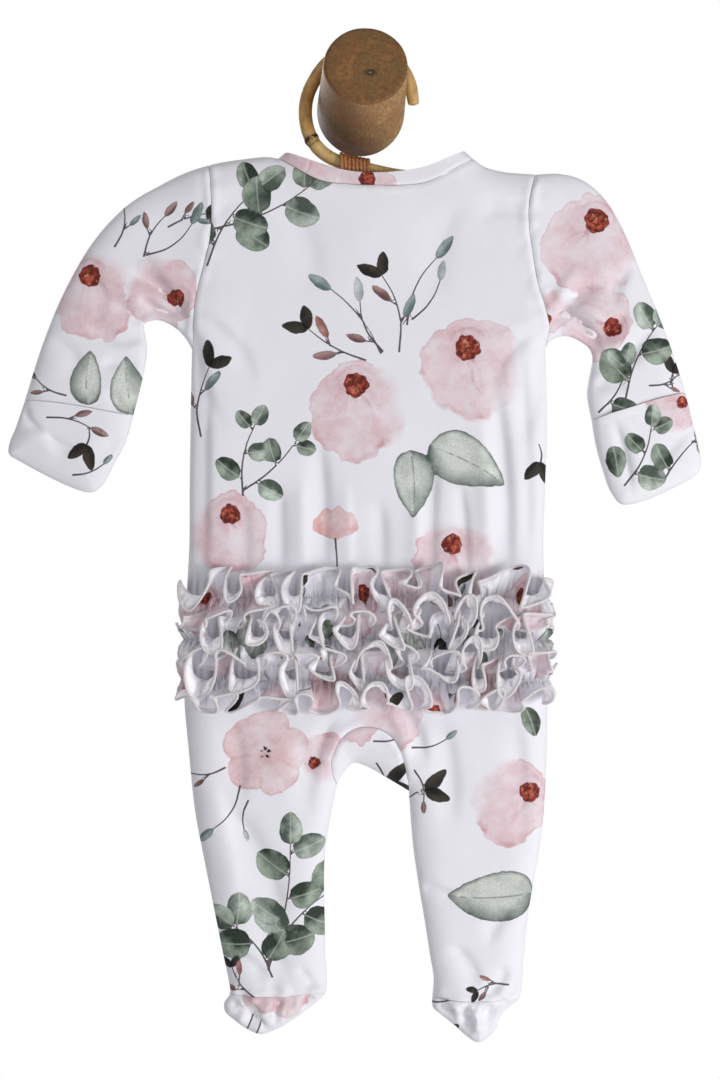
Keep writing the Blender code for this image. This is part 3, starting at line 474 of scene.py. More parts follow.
def outline():
    """The named edges and seams of the suit, each an array of (x, z). Edges run counterclockwise as seen from -Y."""
    e = {}
    for side, sleeve, mitten, foot in (
        ("left", SLEEVE_LEFT, MITTEN_LEFT, FOOT_LEFT),
        ("right", SLEEVE_RIGHT, MITTEN_RIGHT, FOOT_RIGHT),
    ):
        neck, ankle, toe, crotch = (
            by_side(rows, side) for rows in (NECK_SIDE, ANKLE, TOE, CROTCH_END)
        )
        seam, head = (neck["seam_x"], neck["seam_z"]), (sleeve[0]["outer_x"], sleeve[0]["outer_z"])
        wrist_out = (sleeve[-1]["outer_x"], sleeve[-1]["outer_z"])
        wrist_in = (sleeve[-1]["inner_x"], sleeve[-1]["inner_z"])
        pit = (sleeve[0]["inner_x"], sleeve[0]["inner_z"])
        outer_ankle = (ankle["outer_x"], ankle["outer_z"])
        inner_ankle = (ankle["inner_x"], ankle["inner_z"])
        arm = (
            [seam]
            + pick(SHOULDER, (side + "_x", side + "_z"))
            + pick(sleeve, ("outer_x", "outer_z"))
            + pick(mitten, ("outer_x", "outer_z"))
            + pick(mitten, ("inner_x", "inner_z"))[::-1]
            + pick(sleeve, ("inner_x", "inner_z"))[::-1]
        )
        e["shoulder"], e["sleeve_out"], e["mitten_end"], e["sleeve_in"] = split(
            smooth(arm), head, wrist_out, wrist_in
        )
        leg = (
            [pit]
            + [(row[side], row["height"]) for row in BODY]
            + [(row[side + "_outer"], row["height"]) for row in LEGS]
            + [outer_ankle]
            + [(row["outer"], row["height"]) for row in foot]
            + [(toe["x"], toe["z"])]
            + [(row["inner"], row["height"]) for row in foot][::-1]
            + [inner_ankle]
            + [(row[side + "_inner"], row["height"]) for row in LEGS][::-1]
            + [(crotch["x"], crotch["z"])]
        )
        e["side"], e["foot_end"], e["leg_in"] = split(smooth(leg), outer_ankle, inner_ankle)
        e["band_side"] = smooth([(neck["top_x"], neck["top_z"]), seam], 1.0)
        for name in (
            "band_side shoulder sleeve_out mitten_end sleeve_in side foot_end leg_in"
        ).split():
            curve = e.pop(name)
            e[f"{name}_{side}"] = curve if side == "left" else curve[::-1]
        e[f"armhole_{side}"] = smooth(
            [head] + pick(ARMHOLE, (side + "_x", side + "_z")) + [pit]
        )
        e[f"mitten_edge_{side}"] = smooth(
            [wrist_out] + pick(MITTEN_EDGE, (side + "_x", side + "_z")) + [wrist_in]
        )
        e[f"ankle_{side}"] = smooth(
            [outer_ankle, (ankle["middle_x"], ankle["middle_z"]), inner_ankle]
        )
    ends = [(row["x"], row["z"]) for row in CROTCH_END]
    sides = [(row["x"], row["z"]) for row in CROTCH_SIDE]
    e["fold"] = smooth(ends[:1] + [(row["x"], row["fold"]) for row in CROTCH] + ends[1:])
    e["arch"] = smooth(
        [ends[0], sides[0]] + [(row["x"], row["arch"]) for row in CROTCH] + [sides[1], ends[1]]
    )
    for kind in ("top", "seam"):
        left, right = ((row[kind + "_x"], row[kind + "_z"]) for row in NECK_SIDE)
        for half in ("back", "front"):
            middle = [(row["x"], row[f"{half}_{kind}"]) for row in NECK]
            e[f"neck_{half}_{kind}"] = smooth([left] + middle + [right])
    top, arch = e["neck_front_seam"], e["arch"]
    top_at, arch_at = (int(np.argmin(abs(curve[:, 0] - PLACKET_X))) for curve in (top, arch))
    top[top_at, 0] = arch[arch_at, 0] = PLACKET_X
    e["front_seam_left"], e["front_seam_right"] = top[: top_at + 1], top[top_at:]
    e["arch_left"], e["arch_right"] = arch[: arch_at + 1], arch[arch_at:]
    e["front_middle"] = smooth([tuple(top[top_at]), tuple(arch[arch_at])])
    return e


EDGES = outline()
CLOSED = (
    "band_side_left shoulder_left sleeve_out_left mitten_end_left sleeve_in_left side_left foot_end_left leg_in_left fold "
    "leg_in_right foot_end_right side_right sleeve_in_right mitten_end_right sleeve_out_right shoulder_right band_side_right"
).split()
SEAMS = {
    "neck_back": ("neck_back_seam",),
    "neck_front": ("neck_front_seam",),
    "armhole": ("armhole_left", "armhole_right"),
    "wrist": ("mitten_edge_left", "mitten_edge_right"),
    "ankle": ("ankle_left", "ankle_right"),
    "arch": ("arch",),
}
RIM = np.vstack([EDGES[name][:-1] for name in CLOSED] + [EDGES[CLOSED[-1]][-1:]])


def rim_normals():
    d = np.diff(RIM, axis=0)
    d /= np.linalg.norm(d, axis=1)[:, None]
    d = np.vstack([d[:1], (d[1:] + d[:-1]), d[-1:]])
    d /= np.linalg.norm(d, axis=1)[:, None]
    return np.stack([d[:, 1], -d[:, 0]], 1)


RIM_NORMALS = rim_normals()


def tree(points):
    found = kdtree.KDTree(len(points))
    for k, p in enumerate(points):
        found.insert((p[0], p[1], 0.0), k)
    found.balance()
    return found


def nearest(found, points):
    """(distance to, number of) the nearest point of a tree."""
    hits = [found.find((x, z, 0.0)) for x, z in points.tolist()]
    return np.array([h[2] for h in hits]), np.array([h[1] for h in hits])


RIM_TREE = tree(RIM)


def from_edge(points):
    """(distance from the closed edges, unit direction out towards them) of points (x, z)."""
    points = np.asarray(points, float).reshape(-1, 2)
    _, k = nearest(RIM_TREE, points)
    best = np.full(len(points), 1e9)
    out = np.zeros((len(points), 2))
    for step in (-1, 0):
        i = np.clip(k + step, 0, len(RIM) - 2)
        a, d = RIM[i], RIM[i + 1] - RIM[i]
        w = points - a
        t = np.clip((w * d).sum(1) / (d * d).sum(1), 0, 1)[:, None]
        gap = w - t * d
        size = np.linalg.norm(gap, axis=1)
        normal = RIM_NORMALS[i] * (1 - t) + RIM_NORMALS[i + 1] * t
        normal /= np.linalg.norm(normal, axis=1)[:, None]
        away = np.where(
            (size < 1e-3)[:, None], normal, -gap / np.maximum(size, 1e-9)[:, None]
        )
        closer = size < best
        best[closer], out[closer] = size[closer], away[closer]
    return best, out


def onto_rim(point):
    a, d = RIM[:-1], np.diff(RIM, axis=0)
    t = np.clip(((point - a) * d).sum(1) / (d * d).sum(1), 0, 1)
    on = a + t[:, None] * d
    return on[np.linalg.norm(on - point, axis=1).argmin()]


def step_up(value, low, high):
    t = np.clip((value - low) / (high - low), 0, 1)
    return t * t * (3 - 2 * t)


def half_depth(points):
    x, z = points[:, 0], points[:, 1]
    middle = 0.5 * (BODY[0]["left"] + BODY[0]["right"])
    arm = step_up(np.abs(x - middle), 98, 128) * step_up(z, -262, -250)
    leg = step_up(-z, 425, 465)
    foot = step_up(-z, 553, 572)
    deep = DEPTH_TORSO + (DEPTH_LEG - DEPTH_TORSO) * leg
    deep = deep + (DEPTH_SLEEVE - DEPTH_TORSO) * arm
    return deep + (DEPTH_FOOT - DEPTH_LEG) * foot


def form(points, side):
    """(points in space, outward normals, distance from the closed edges) of the suit's outer face."""
    points = np.asarray(points, float).reshape(-1, 2)
    far, out = from_edge(points)
    far = np.where(far < 2e-3, 0, far)
    deep = half_depth(points)
    u = 1 - np.clip(far / EDGE_ROUND, 0, 1)
    rise = np.sqrt(np.clip(1 - u * u, 0, 1))
    place = np.stack([points[:, 0], MID_Y + side * deep * rise, points[:, 1]], 1)
    slope = deep / EDGE_ROUND * u
    normal = np.stack([out[:, 0] * slope, side * np.maximum(rise, 1e-9), out[:, 1] * slope], 1)
    return place, normal / np.linalg.norm(normal, axis=1)[:, None], far


# ---------------------------------------------------------------- noise and relief
def noise(points, size, seed):
    """Smooth value noise from -1 to 1 over the plane, with cells of the given size."""
    values = np.random.default_rng(seed).uniform(-1, 1, (64, 64))
    p = np.asarray(points, float) / size + seed * 7.31
    cell = np.floor(p).astype(int)
    t = p - cell
    t = t * t * (3 - 2 * t)
    i, j = cell[:, 0] % 64, cell[:, 1] % 64
    i2, j2 = (i + 1) % 64, (j + 1) % 64
    low = values[i, j] * (1 - t[:, 0]) + values[i2, j] * t[:, 0]
    high = values[i, j2] * (1 - t[:, 0]) + values[i2, j2] * t[:, 0]
    return low * (1 - t[:, 1]) + high * t[:, 1]


def creases(points, rows):
    """The height that the creases of a table give each point."""
    total = np.zeros(len(points))
    for row in rows:
        a, b = np.array((row["x0"], row["z0"]), float), np.array((row["x1"], row["z1"]), float)
        d = b - a
        size = np.linalg.norm(d)
        d /= size
        n = np.array((-d[1], d[0]))
        w = points - a
        t = (w @ d) / size
        across = w @ n - row["bend"] * (1 - (2 * np.clip(t, 0, 1) - 1) ** 2)
        width = row["width"] * (0.75 + 0.35 * np.sin(np.clip(t, 0, 1) * 2.2 + 0.4))
        fade = step_up(t, -0.06, 0.3) * step_up(1 - t, -0.06, 0.35)
        # one flank of a crease is steeper than the other
        flank = np.where(across > 0, across * 1.35, across * 0.8) / width
        total += row["depth"] * fade * np.exp(-flank * flank)
    return total


SEAM_TREES = {
    kind: tree(np.vstack([smooth(EDGES[name], 0.6) for name in names]))
    for kind, names in SEAMS.items()
}


def relief(points, far, piece):
    """Height over the form of a piece's outer face: creases, seams turned in, hems and a slight unevenness."""
    high = 0.8 * noise(points, 46, 3) + 0.35 * noise(points, 21, 4)
    folds = {
        "back": BACK_FOLDS,
        "front": FRONT_FOLDS,
        "sleeve": SLEEVE_FOLDS,
        "mitten": MITTEN_FOLDS,
        "foot": FOOT_FOLDS,
    }
    for kind, rows in folds.items():
        if piece.startswith(kind):
            high += FOLD_DEPTH[kind] * creases(points, rows)
    near = {
        "back": ("neck_back", "armhole", "ankle", "arch"),
        "front": ("neck_front", "armhole", "ankle", "arch"),
        "sleeve": ("armhole", "wrist"),
        "mitten": ("wrist",),
        "neckband": ("neck_back", "neck_front"),
        "crotch": ("arch",),
        "foot": ("ankle",),
    }
    kinds = next(names for kind, names in near.items() if piece.startswith(kind))
    for kind in kinds:
        gap, _ = nearest(SEAM_TREES[kind], points)
        if kind == "wrist" and piece.startswith("mitten"):
            # the mitten's hem lies over the sleeve
            high += 1.1 * np.exp(-((gap / 9.0) ** 2)) - 0.35 * np.exp(-(((gap - 5.5) / 0.8) ** 2))
            continue
        if kind == "wrist":
            high -= 0.5 * np.exp(-((gap / 5.0) ** 2))
            continue
        if piece == "neckband":
            high += 0.5 - 0.9 * np.exp(-((gap / 0.9) ** 2))
            continue
        pucker = {"ankle": 2.2, "armhole": 1.0, "arch": 0.7}.get(kind, 0.25)
        high += -0.9 * np.exp(-((gap / 1.1) ** 2)) + 0.35 * np.exp(-(((gap - 3.0) / 1.8) ** 2))
        high += pucker * noise(points, 6.5, 11) * np.exp(-((gap / 8.0) ** 2))
    if piece.startswith("foot"):
        high += 1.5 * noise(points, 9, 21) + 1.0 * np.abs(noise(points, 4.6, 22)) - 0.5
    return high * step_up(far, 0, 4.5)


# ---------------------------------------------------------------- panels
def region(*runs):
    """(loop of points, which edges of it are seams) of a region bounded by named curves in order."""
    curves = []
    for run in runs:
        name = run.lstrip("-")
        curve = EDGES[name]
        curves.append((curve[::-1] if run.startswith("-") else curve, name not in CLOSED))
    loop, seams = [], []
    for k, (curve, seam) in enumerate(curves):
        before, before_seam = curves[k - 1]
        moved = curve.copy()
        if seam:
            d = np.gradient(curve, axis=0)
            d /= np.linalg.norm(d, axis=1)[:, None]
            moved = curve + SEAM / 2 * np.stack([-d[:, 1], d[:, 0]], 1)
        d_in, d_out = before[-1] - before[-2], curve[1] - curve[0]
        d_in, d_out = d_in / np.linalg.norm(d_in), d_out / np.linalg.norm(d_out)
        n_in, n_out = np.array([-d_in[1], d_in[0]]), np.array([-d_out[1], d_out[0]])
        start = curve[0]
        if before_seam and not seam:
            start = start + d_out * SEAM * 0.65
        elif seam and not before_seam:
            start = start - d_in * SEAM * 0.65
        elif seam and before_seam:
            start = start + SEAM / 2 * (n_in + n_out) / (1 + n_in @ n_out)
        if seam != before_seam:
            start = onto_rim(start)
        moved[0] = start
        loop += list(moved[:-1])
        seams += [seam] * (len(moved) - 1)
    return np.array(loop), seams


def inside(points, loop):
    a, b = loop, np.roll(loop, -1, axis=0)
    within = np.zeros(len(points), bool)
    for start in range(0, len(points), 3000):
        p = points[start : start + 3000]
        x, z = p[:, 0][:, None], p[:, 1][:, None]
        crosses = (a[:, 1] > z) != (b[:, 1] > z)
        with np.errstate(divide="ignore", invalid="ignore"):
            at = (b[:, 0] - a[:, 0]) * (z - a[:, 1]) / (b[:, 1] - a[:, 1]) + a[:, 0]
        within[start : start + 3000] = (crosses & (x < at)).sum(1) % 2 == 1
    return within


def mesh_region(loop, seams, grid, rim_rows, seam_rows):
    """(points, triangles) of a region, with rows of points along its edges and an even field inside. The loop's points come first."""
    seams = np.array(seams)
    around = tree(loop)
    seam_points = loop[seams | np.roll(seams, 1)]
    seam_tree = tree(seam_points) if len(seam_points) else None
    sets = [loop]
    _, out = from_edge(loop)
    on_rim = ~(seams & np.roll(seams, 1))
    for row in rim_rows:
        at = loop[on_rim] - out[on_rim] * row
        far, _ = from_edge(at)
        good = abs(far - row) < 0.2 * row
        if seam_tree:
            good &= nearest(seam_tree, at)[0] > 0.6
        sets.append(at[good])
    last_rim = rim_rows[-1] if rim_rows else 0.0
    last_seam = seam_rows[-1] if seam_rows else 0.0
    d = np.roll(loop, -1, axis=0) - np.roll(loop, 1, axis=0)
    d /= np.linalg.norm(d, axis=1)[:, None]
    inward = np.stack([-d[:, 1], d[:, 0]], 1)
    for row in seam_rows:
        at = loop[seams] + inward[seams] * row
        far, _ = from_edge(at)
        gap, _ = nearest(around, at)
        sets.append(at[(far > last_rim + 0.6) & (abs(gap - row) < 0.25 * row + 0.15)])
    low, high = loop.min(0), loop.max(0)
    z = np.arange(low[1] + grid / 2, high[1], grid * 0.87)
    x = np.arange(low[0], high[0] + grid, grid)
    gx, gz = np.meshgrid(x, z)
    gx = gx + np.where(np.arange(len(z)) % 2, grid / 2, 0)[:, None]
    field = np.stack([gx.ravel(), gz.ravel()], 1)
    field = field[inside(field, loop)]
    far, _ = from_edge(field)
    gap, _ = nearest(around, field)
    sets.append(field[(far > last_rim + 0.6 * grid) & (gap > last_seam + 0.6 * grid)])
    points = np.vstack(sets)
    within = np.ones(len(points), bool)
    within[len(loop) :] = inside(points[len(loop) :], loop)
    points = points[within]
    n = len(loop)
    result = delaunay_2d_cdt(
        [Vector(p) for p in points.tolist()], [(i, (i + 1) % n) for i in range(n)], [], 1, 1e-6
    )
    order = np.array([olds[0] if olds else 0 for olds in result[3]])
    faces = order[np.array(result[2])]
    a, b, c = (points[faces[:, k]] for k in range(3))
    turn = (b[:, 0] - a[:, 0]) * (c[:, 1] - a[:, 1]) - (b[:, 1] - a[:, 1]) * (c[:, 0] - a[:, 0])
    faces[turn < 0] = faces[turn < 0][:, ::-1]
    return points, faces[abs(turn) > 1e-9]


def shell(name, halves, grid, lining=6.0):
    """(points, triangles, which are the inner face, print places) of a piece: a fine outer face, a plain inner one and
    its cut edges.
    """
    place, faces, inner, flat_all = [], [], [], []
    count = 0
    joined = len(halves) > 1
    for loop, seams, side in halves:
        fine, over = mesh_region(loop, seams, grid, RIM_ROWS, SEAM_ROWS)
        plain, under = mesh_region(loop, seams, lining, (2.5, 7.0), ())
        tops, normals, far = form(fine, side)
        if not joined:
            tops[:, 1] += np.where(far < 2e-3, side * SEAM / 2, 0)
        tops = tops + normals * relief(fine, far, name)[:, None]
        lows, low_normals, low_far = form(plain, side)
        if not joined:
            lows[:, 1] += np.where(low_far < 2e-3, side * SEAM / 2, 0)
        height = relief(plain, low_far, name)
        lows = lows + low_normals * (height - CLOTH)[:, None]
        n, m, edge = len(fine), len(plain), len(loop)
        under = under[:, ::-1] + count + n
        k = np.arange(edge)
        if joined:
            k = k[np.array(seams)]
        a, b = k, (k + 1) % edge
        a, b, c, d = a + count, b + count, b + count + n, a + count + n
        sides = np.vstack([np.stack([b, a, d], 1), np.stack([b, d, c], 1)])
        both = [over + count, under, sides]
        if side > 0:
            both = [f[:, ::-1] for f in both]
        place += [tops, lows]
        flat_all += [fine, plain]
        faces += both
        inner += [np.zeros(len(over), int), np.ones(len(under), int), np.zeros(len(sides), int)]
        count += n + m
    place, flat_all = np.vstack(place), np.vstack(flat_all)
    faces, inner = np.vstack(faces), np.concatenate(inner)
    if joined:
        _, first, index = np.unique(
            np.round(place, 3), axis=0, return_index=True, return_inverse=True
        )
        faces = index.reshape(-1)[faces]
        place, flat_all = place[first], flat_all[first]
    good = (faces[:, 0] != faces[:, 1]) & (faces[:, 1] != faces[:, 2]) & (faces[:, 0] != faces[:, 2])
    return place, faces[good], inner[good], flat_all


# ---------------------------------------------------------------- painting
PALE, BLUSH, PINK, CORAL = (0.86, 0.70, 0.73), (0.80, 0.54, 0.57), (0.68, 0.36, 0.38), (0.56, 0.17, 0.13)
LEAF_TONES = {
    "sage": ((0.055, 0.082, 0.062), (0.50, 0.57, 0.51)),
    "green": ((0.018, 0.032, 0.020), (0.33, 0.40, 0.33)),
    "big": ((0.055, 0.085, 0.070), (0.60, 0.63, 0.59)),
    "dark": ((0.007, 0.006, 0.005), (0.042, 0.032, 0.022)),
    "mauve": ((0.13, 0.060, 0.060), (0.40, 0.25, 0.25)),
    "rosy": ((0.26, 0.10, 0.09), (0.52, 0.30, 0.29)),
    "blue": ((0.11, 0.16, 0.16), (0.36, 0.43, 0.43)),
    "pale": ((0.34, 0.37, 0.40), (0.58, 0.61, 0.64)),
}
FAR = 9.0


class Canvas:
    """The painted values of a set of points in the print's plane."""

    def __init__(self, points):
        self.at = np.asarray(points, float)
        n = len(self.at)
        self.rose_d, self.rose_soft, self.speck = np.full(n, FAR), np.ones(n), np.zeros(n)
        self.rose_c = np.tile(np.array(BLUSH), (n, 1))
        self.leaf = [
            {"d": np.full(n, FAR), "a": np.zeros(n), "b": np.zeros(n), "vein": np.zeros(n), "c": np.full((n, 3), 0.2)}
            for _ in range(2)
        ]
        self.stem_a, self.stem_d, self.stem_w = np.full(n, FAR), np.full(n, FAR), np.full(n, 0.5)

    def near(self, x, z, r):
        return np.flatnonzero((abs(self.at[:, 0] - x) < r) & (abs(self.at[:, 1] - z) < r))


def ramp(s, *stops):
    """A colour along evenly spaced stops, s from 0 to 1."""
    s = np.clip(s, 0, 1) * (len(stops) - 1)
    return np.stack(
        [np.interp(s, np.arange(len(stops)), [stop[k] for stop in stops]) for k in range(3)], 1
    )


def turned(angle):
    a = math.radians(angle)
    return np.array((math.cos(a), math.sin(a)))


def paint_heart(canvas, x, z, r, seed):
    """The rust-red middle of a rose: curled strokes, lighter towards its own middle, with dark specks."""
    i = canvas.near(x, z, r + 4)
    if not len(i):
        return
    p = canvas.at[i] - (x, z)
    angle = np.arctan2(p[:, 1], p[:, 0])
    rim = r * (1 + 0.06 * np.sin(3 * angle + seed) + 0.05 * np.sin(8 * angle + 2 * seed))
    rho = np.linalg.norm(p, axis=1)
    d = rho - rim
    layer = canvas.leaf[1]
    take = d < np.minimum(layer["d"][i], 3.0)
    j = i[take]
    curl = 0.5 + 0.5 * np.sin(4 * angle[take] + rho[take] * 1.5 + seed)
    tone = 0.10 + 0.42 * curl + 0.35 * noise(canvas.at[j], 1.6, seed) + 0.55 * (rho[take] / r) ** 2
    layer["d"][j], layer["a"][j], layer["b"][j], layer["vein"][j] = d[take], 0, 9, 0
    layer["c"][j] = ramp(tone, (0.52, 0.16, 0.09), (0.42, 0.075, 0.04), (0.28, 0.032, 0.02), (0.12, 0.012, 0.01))
    canvas.speck[i] = np.maximum(canvas.speck[i], 1 - step_up(rho, r * 0.8, r * 1.15))


def paint_rose(canvas, x, z, size, angle, seed):
    """A rose in soft washes: broad petals in rings about an off-centre heart, pooled darker at some of their edges."""
    i = canvas.near(x, z, size * 1.3 + 8)
    if not len(i):
        return
    rng = np.random.default_rng(seed)
    at = canvas.at[i]
    p = at - (x, z)
    rho, turn = np.linalg.norm(p, axis=1), np.arctan2(p[:, 1], p[:, 0])
    gaps = []
    for k in range(6):
        a = math.radians(angle) + 2 * math.pi * (k + rng.uniform(-0.18, 0.18)) / 6
        middle = np.array((math.cos(a), math.sin(a))) * size * rng.uniform(0.40, 0.52)
        gaps.append(np.linalg.norm(p - middle, axis=1) - size * rng.uniform(0.44, 0.60))
    gaps.append(rho - size * 0.72)
    d = -2.2 * np.log(np.sum(np.exp(-np.clip(np.array(gaps), -60, 60) / 2.2), axis=0))
    d = d + 1.7 * noise(at, 6.0, seed + 1) + 1.1 * noise(at, 2.9, seed + 5)
    soft = 0.7 + 8.0 * step_up(np.sin(turn + rng.uniform(0, 6.3)) + 0.6 * np.sin(2 * turn + rng.uniform(0, 6.3)), -0.2, 1.0)
    heart = turned(angle) * size * 0.46
    s = 0.36 + 0.16 * noise(at, 14, seed + 2) + 0.09 * noise(at, 5.5, seed + 3) + 0.05 * noise(at, 2.6, seed + 4)
    for ring, count, away, reach in ((0, 5, 0.60, 0.62), (1, 5, 0.40, 0.46), (2, 4, 0.24, 0.31), (3, 3, 0.12, 0.20)):
        for k in range(count):
            a = 2 * math.pi * (k + 0.37 * ring + rng.uniform(-0.12, 0.12)) / count
            centre = heart * (0.30 + 0.22 * ring) + np.array((math.cos(a), math.sin(a))) * away * size
            w = p - centre
            q = np.linalg.norm(w, axis=1) / (reach * size * rng.uniform(0.9, 1.1))
            wa = np.arctan2(w[:, 1], w[:, 0])
            q = q * (1 + 0.05 * np.sin(3 * wa + rng.uniform(0, 6.3)) + 0.03 * np.sin(5 * wa + rng.uniform(0, 6.3)))
            q = q + 0.05 * noise(at, 4.0, seed + 6)
            tone = 0.20 + 0.06 * ring + rng.uniform(-0.06, 0.10) + 0.26 * (1 - np.clip(q, 0, 1)) ** 1.5
            pool = rng.uniform(0.10, 0.40) * np.exp(-(((q - 0.97) / 0.075) ** 2)) * step_up(np.sin(wa + rng.uniform(0, 6.3)), -0.3, 0.7)
            cover = step_up(1.05 - q, 0, 0.10) * rng.uniform(0.3, 0.65)
            s = s + (tone + 0.35 * (s - 0.36) + pool - s) * cover
    w = p - heart
    reach = np.linalg.norm(w, axis=1)
    s = s + 0.20 * np.exp(-((reach / (size * 0.28)) ** 2))
    s = s + 0.30 * np.exp(-(((reach - size * 0.36) / 0.9) ** 2)) * step_up(w @ turned(angle) / size, 0.0, 0.25)
    # a few thin strokes run from the heart towards the flower's far side
    for k in range(4):
        way = turned(angle + 180 + rng.uniform(-38, 38))
        along, across = w @ way, w @ np.array((-way[1], way[0])) + 1.2 * np.sin(w @ way * 0.25 + k)
        stroke = np.exp(-((across / 0.8) ** 2)) * step_up(along, 2, 6) * step_up(size * rng.uniform(0.5, 0.95) - along, 0, 6)
        s = s + rng.choice((0.30, 0.26, -0.22)) * stroke
    pooled = np.clip(0.5 + 0.9 * noise(at, 7.0, seed + 8), 0, 1) * step_up(-(p @ turned(angle)) / size, -0.1, 0.5)
    s = s + 0.55 * np.exp(-(((d + 2.2) / 2.0) ** 2)) * pooled
    colour = ramp(s, (0.84, 0.75, 0.785), (0.79, 0.64, 0.685), (0.71, 0.51, 0.55), (0.60, 0.345, 0.38), (0.46, 0.18, 0.19))
    inside_it = d < np.where(canvas.rose_d[i] < 0, 0.0, np.minimum(canvas.rose_d[i], 8.0))
    j = i[inside_it]
    canvas.rose_d[j], canvas.rose_soft[j] = d[inside_it], soft[inside_it]
    canvas.rose_c[j] = colour[inside_it]
    paint_heart(canvas, x + heart[0], z + heart[1], max(3.6, size * 0.235), seed)


def paint_bloom(canvas, x, z, size, angle, seed):
    """An open five-petalled flower, pale pink, with a small dark eye."""
    i = canvas.near(x, z, size * 1.2 + 6)
    if not len(i):
        return
    p = canvas.at[i] - (x, z)
    rho, turn = np.linalg.norm(p, axis=1), np.arctan2(p[:, 1], p[:, 0]) - math.radians(angle)
    lobe = np.abs(np.cos(2.5 * turn))
    rim = size * (0.80 + 0.20 * lobe**0.6 + 0.03 * np.sin(7 * turn + seed))
    d = rho - rim + 0.5 * noise(canvas.at[i], 4, seed)
    between = np.exp(-((lobe * rho / 2.2) ** 2))
    s = 0.34 + 0.20 * noise(canvas.at[i], 9, seed + 1) + 0.10 * noise(canvas.at[i], 4, seed + 2) + 0.30 * between * step_up(rho, 4, 12)
    s = s + 0.24 * np.exp(-((rho / (0.45 * size)) ** 2)) + 0.05 * np.sin(26 * turn) * step_up(rho, 4, 10)
    s = s + 0.16 * np.exp(-(((d + 1.2) / 1.4) ** 2))
    colour = ramp(s, (0.84, 0.72, 0.73), (0.77, 0.60, 0.62), (0.68, 0.46, 0.48), (0.56, 0.32, 0.34))
    take = d < np.where(canvas.rose_d[i] < 0, 0.0, np.minimum(canvas.rose_d[i], 8.0))
    j = i[take]
    canvas.rose_d[j], canvas.rose_soft[j], canvas.rose_c[j] = d[take], 0.9, colour[take]
    canvas.speck[i] = np.maximum(canvas.speck[i], 0.66 * (1 - step_up(rho, size * 0.14, size * 0.30)))
    for k in range(5):
        way = 72 * k + 20 * (seed % 3)
        spot = np.array((x, z)) + turned(way) * 1.1
        paint_leaf(canvas, *spot, 3.4, way, 2.0, "dark", seed + k, k % 2, 0.5, 0.6)


def paint_leaf(canvas, x, z, size, angle, width, tone, seed, layer, low=0.6, high=0.9, vein=0.0, bend=0.0):
    """A leaf from its base at (x, z). The powers low and high round its base and draw out its tip."""
    i = canvas.near(x, z, size + 5)
    if not len(i):
        return
    d_ = turned(angle)
    w = canvas.at[i] - (x, z)
    a = w @ d_
    b = w @ np.array((-d_[1], d_[0])) - bend * size * (1 - (2 * np.clip(a / size, 0, 1) - 1) ** 2)
    t = np.clip(a / size, 1e-3, 1 - 1e-3)
    peak = low / (low + high)
    scale = width / 2 / (peak**low * (1 - peak) ** high)
    half = scale * t**low * (1 - t) ** high
    half = half * (1 + 0.05 * np.sin(a * 0.23 * 20 / max(size, 12) + seed + np.sign(b)))
    slope = np.clip(half * (low / t - high / (1 - t)) / size, -1.6, 1.6)
    d = (abs(b) - half) / np.sqrt(1 + slope * slope)
    past = np.maximum(np.maximum(-a, a - size), 0)
    d = np.where(past > 0, np.hypot(past, np.maximum(abs(b) - 0.2, 0)), d)
    if size > 14:
        d = d + 0.35 * noise(canvas.at[i], 2.7, seed + 9)
    target = canvas.leaf[layer]
    take = d < np.minimum(target["d"][i], 3.5)
    j = i[take]
    s = 0.36 + 0.42 * noise(canvas.at[j], max(2.5, size * 0.27), seed) + 0.18 * noise(canvas.at[j], 1.8, seed + 1)
    s = s + 0.40 * np.tanh(1.6 * b[take] / (0.35 * width)) * (1 if seed % 2 else -1) + 0.34 * (t[take] - 0.45)
    if tone == "big":
        wide = np.where((b[take] > 0) == bool(seed % 2), 10.5, 2.6)
        s = 0.12 + 0.82 * np.clip(-d[take] / wide, 0, 1) ** 0.8 + 0.16 * noise(canvas.at[j], 8, seed) + 0.08 * noise(canvas.at[j], 2.2, seed + 1)
        s = s - 0.22 * step_up(0.35 - t[take], 0, 0.35)
    target["d"][j], target["a"][j], target["b"][j], target["vein"][j] = d[take], a[take], b[take], vein
    target["c"][j] = ramp(s, *LEAF_TONES[tone])


def paint_stem(canvas, points, width=0.42):
    """A thin line through the points."""
    line = smooth(points, 2.0)
    low, high = line.min(0) - 5, line.max(0) + 5
    i = np.flatnonzero(((canvas.at > low) & (canvas.at < high)).all(1))
    if not len(i):
        return
    p = canvas.at[i]
    best = np.full(len(i), 1e9)
    signed, thick = np.zeros(len(i)), np.full(len(i), width)
    for k, (a, b) in enumerate(zip(line, line[1:])):
        d = b - a
        size = np.linalg.norm(d)
        d = d / size
        w = p - a
        t = w @ d
        gap = np.hypot(w @ np.array((-d[1], d[0])), np.maximum(np.maximum(-t, t - size), 0))
        closer = gap < best
        best[closer] = gap[closer]
        signed[closer] = (w @ np.array((-d[1], d[0])))[closer]
        thick[closer] = width * (1.35 - 0.75 * k / len(line))
    take = best < np.minimum(canvas.stem_d[i], 4.0)
    j = i[take]
    canvas.stem_a[j], canvas.stem_d[j], canvas.stem_w[j] = signed[take], best[take], thick[take]


def curve_of(x, z, size, angle, bend):
    """A gently bent line from (x, z), and where along it, with its heading, a share t lies."""
    d = turned(angle)
    n = np.array((-d[1], d[0]))
    start = np.array((x, z), float)

    def at(t):
        return start + d * size * t + n * bend * size * (1 - (2 * t - 1) ** 2)

    def heading(t):
        step = at(min(t + 0.02, 1.02)) - at(t - 0.02)
        return math.degrees(math.atan2(step[1], step[0]))

    return at, heading


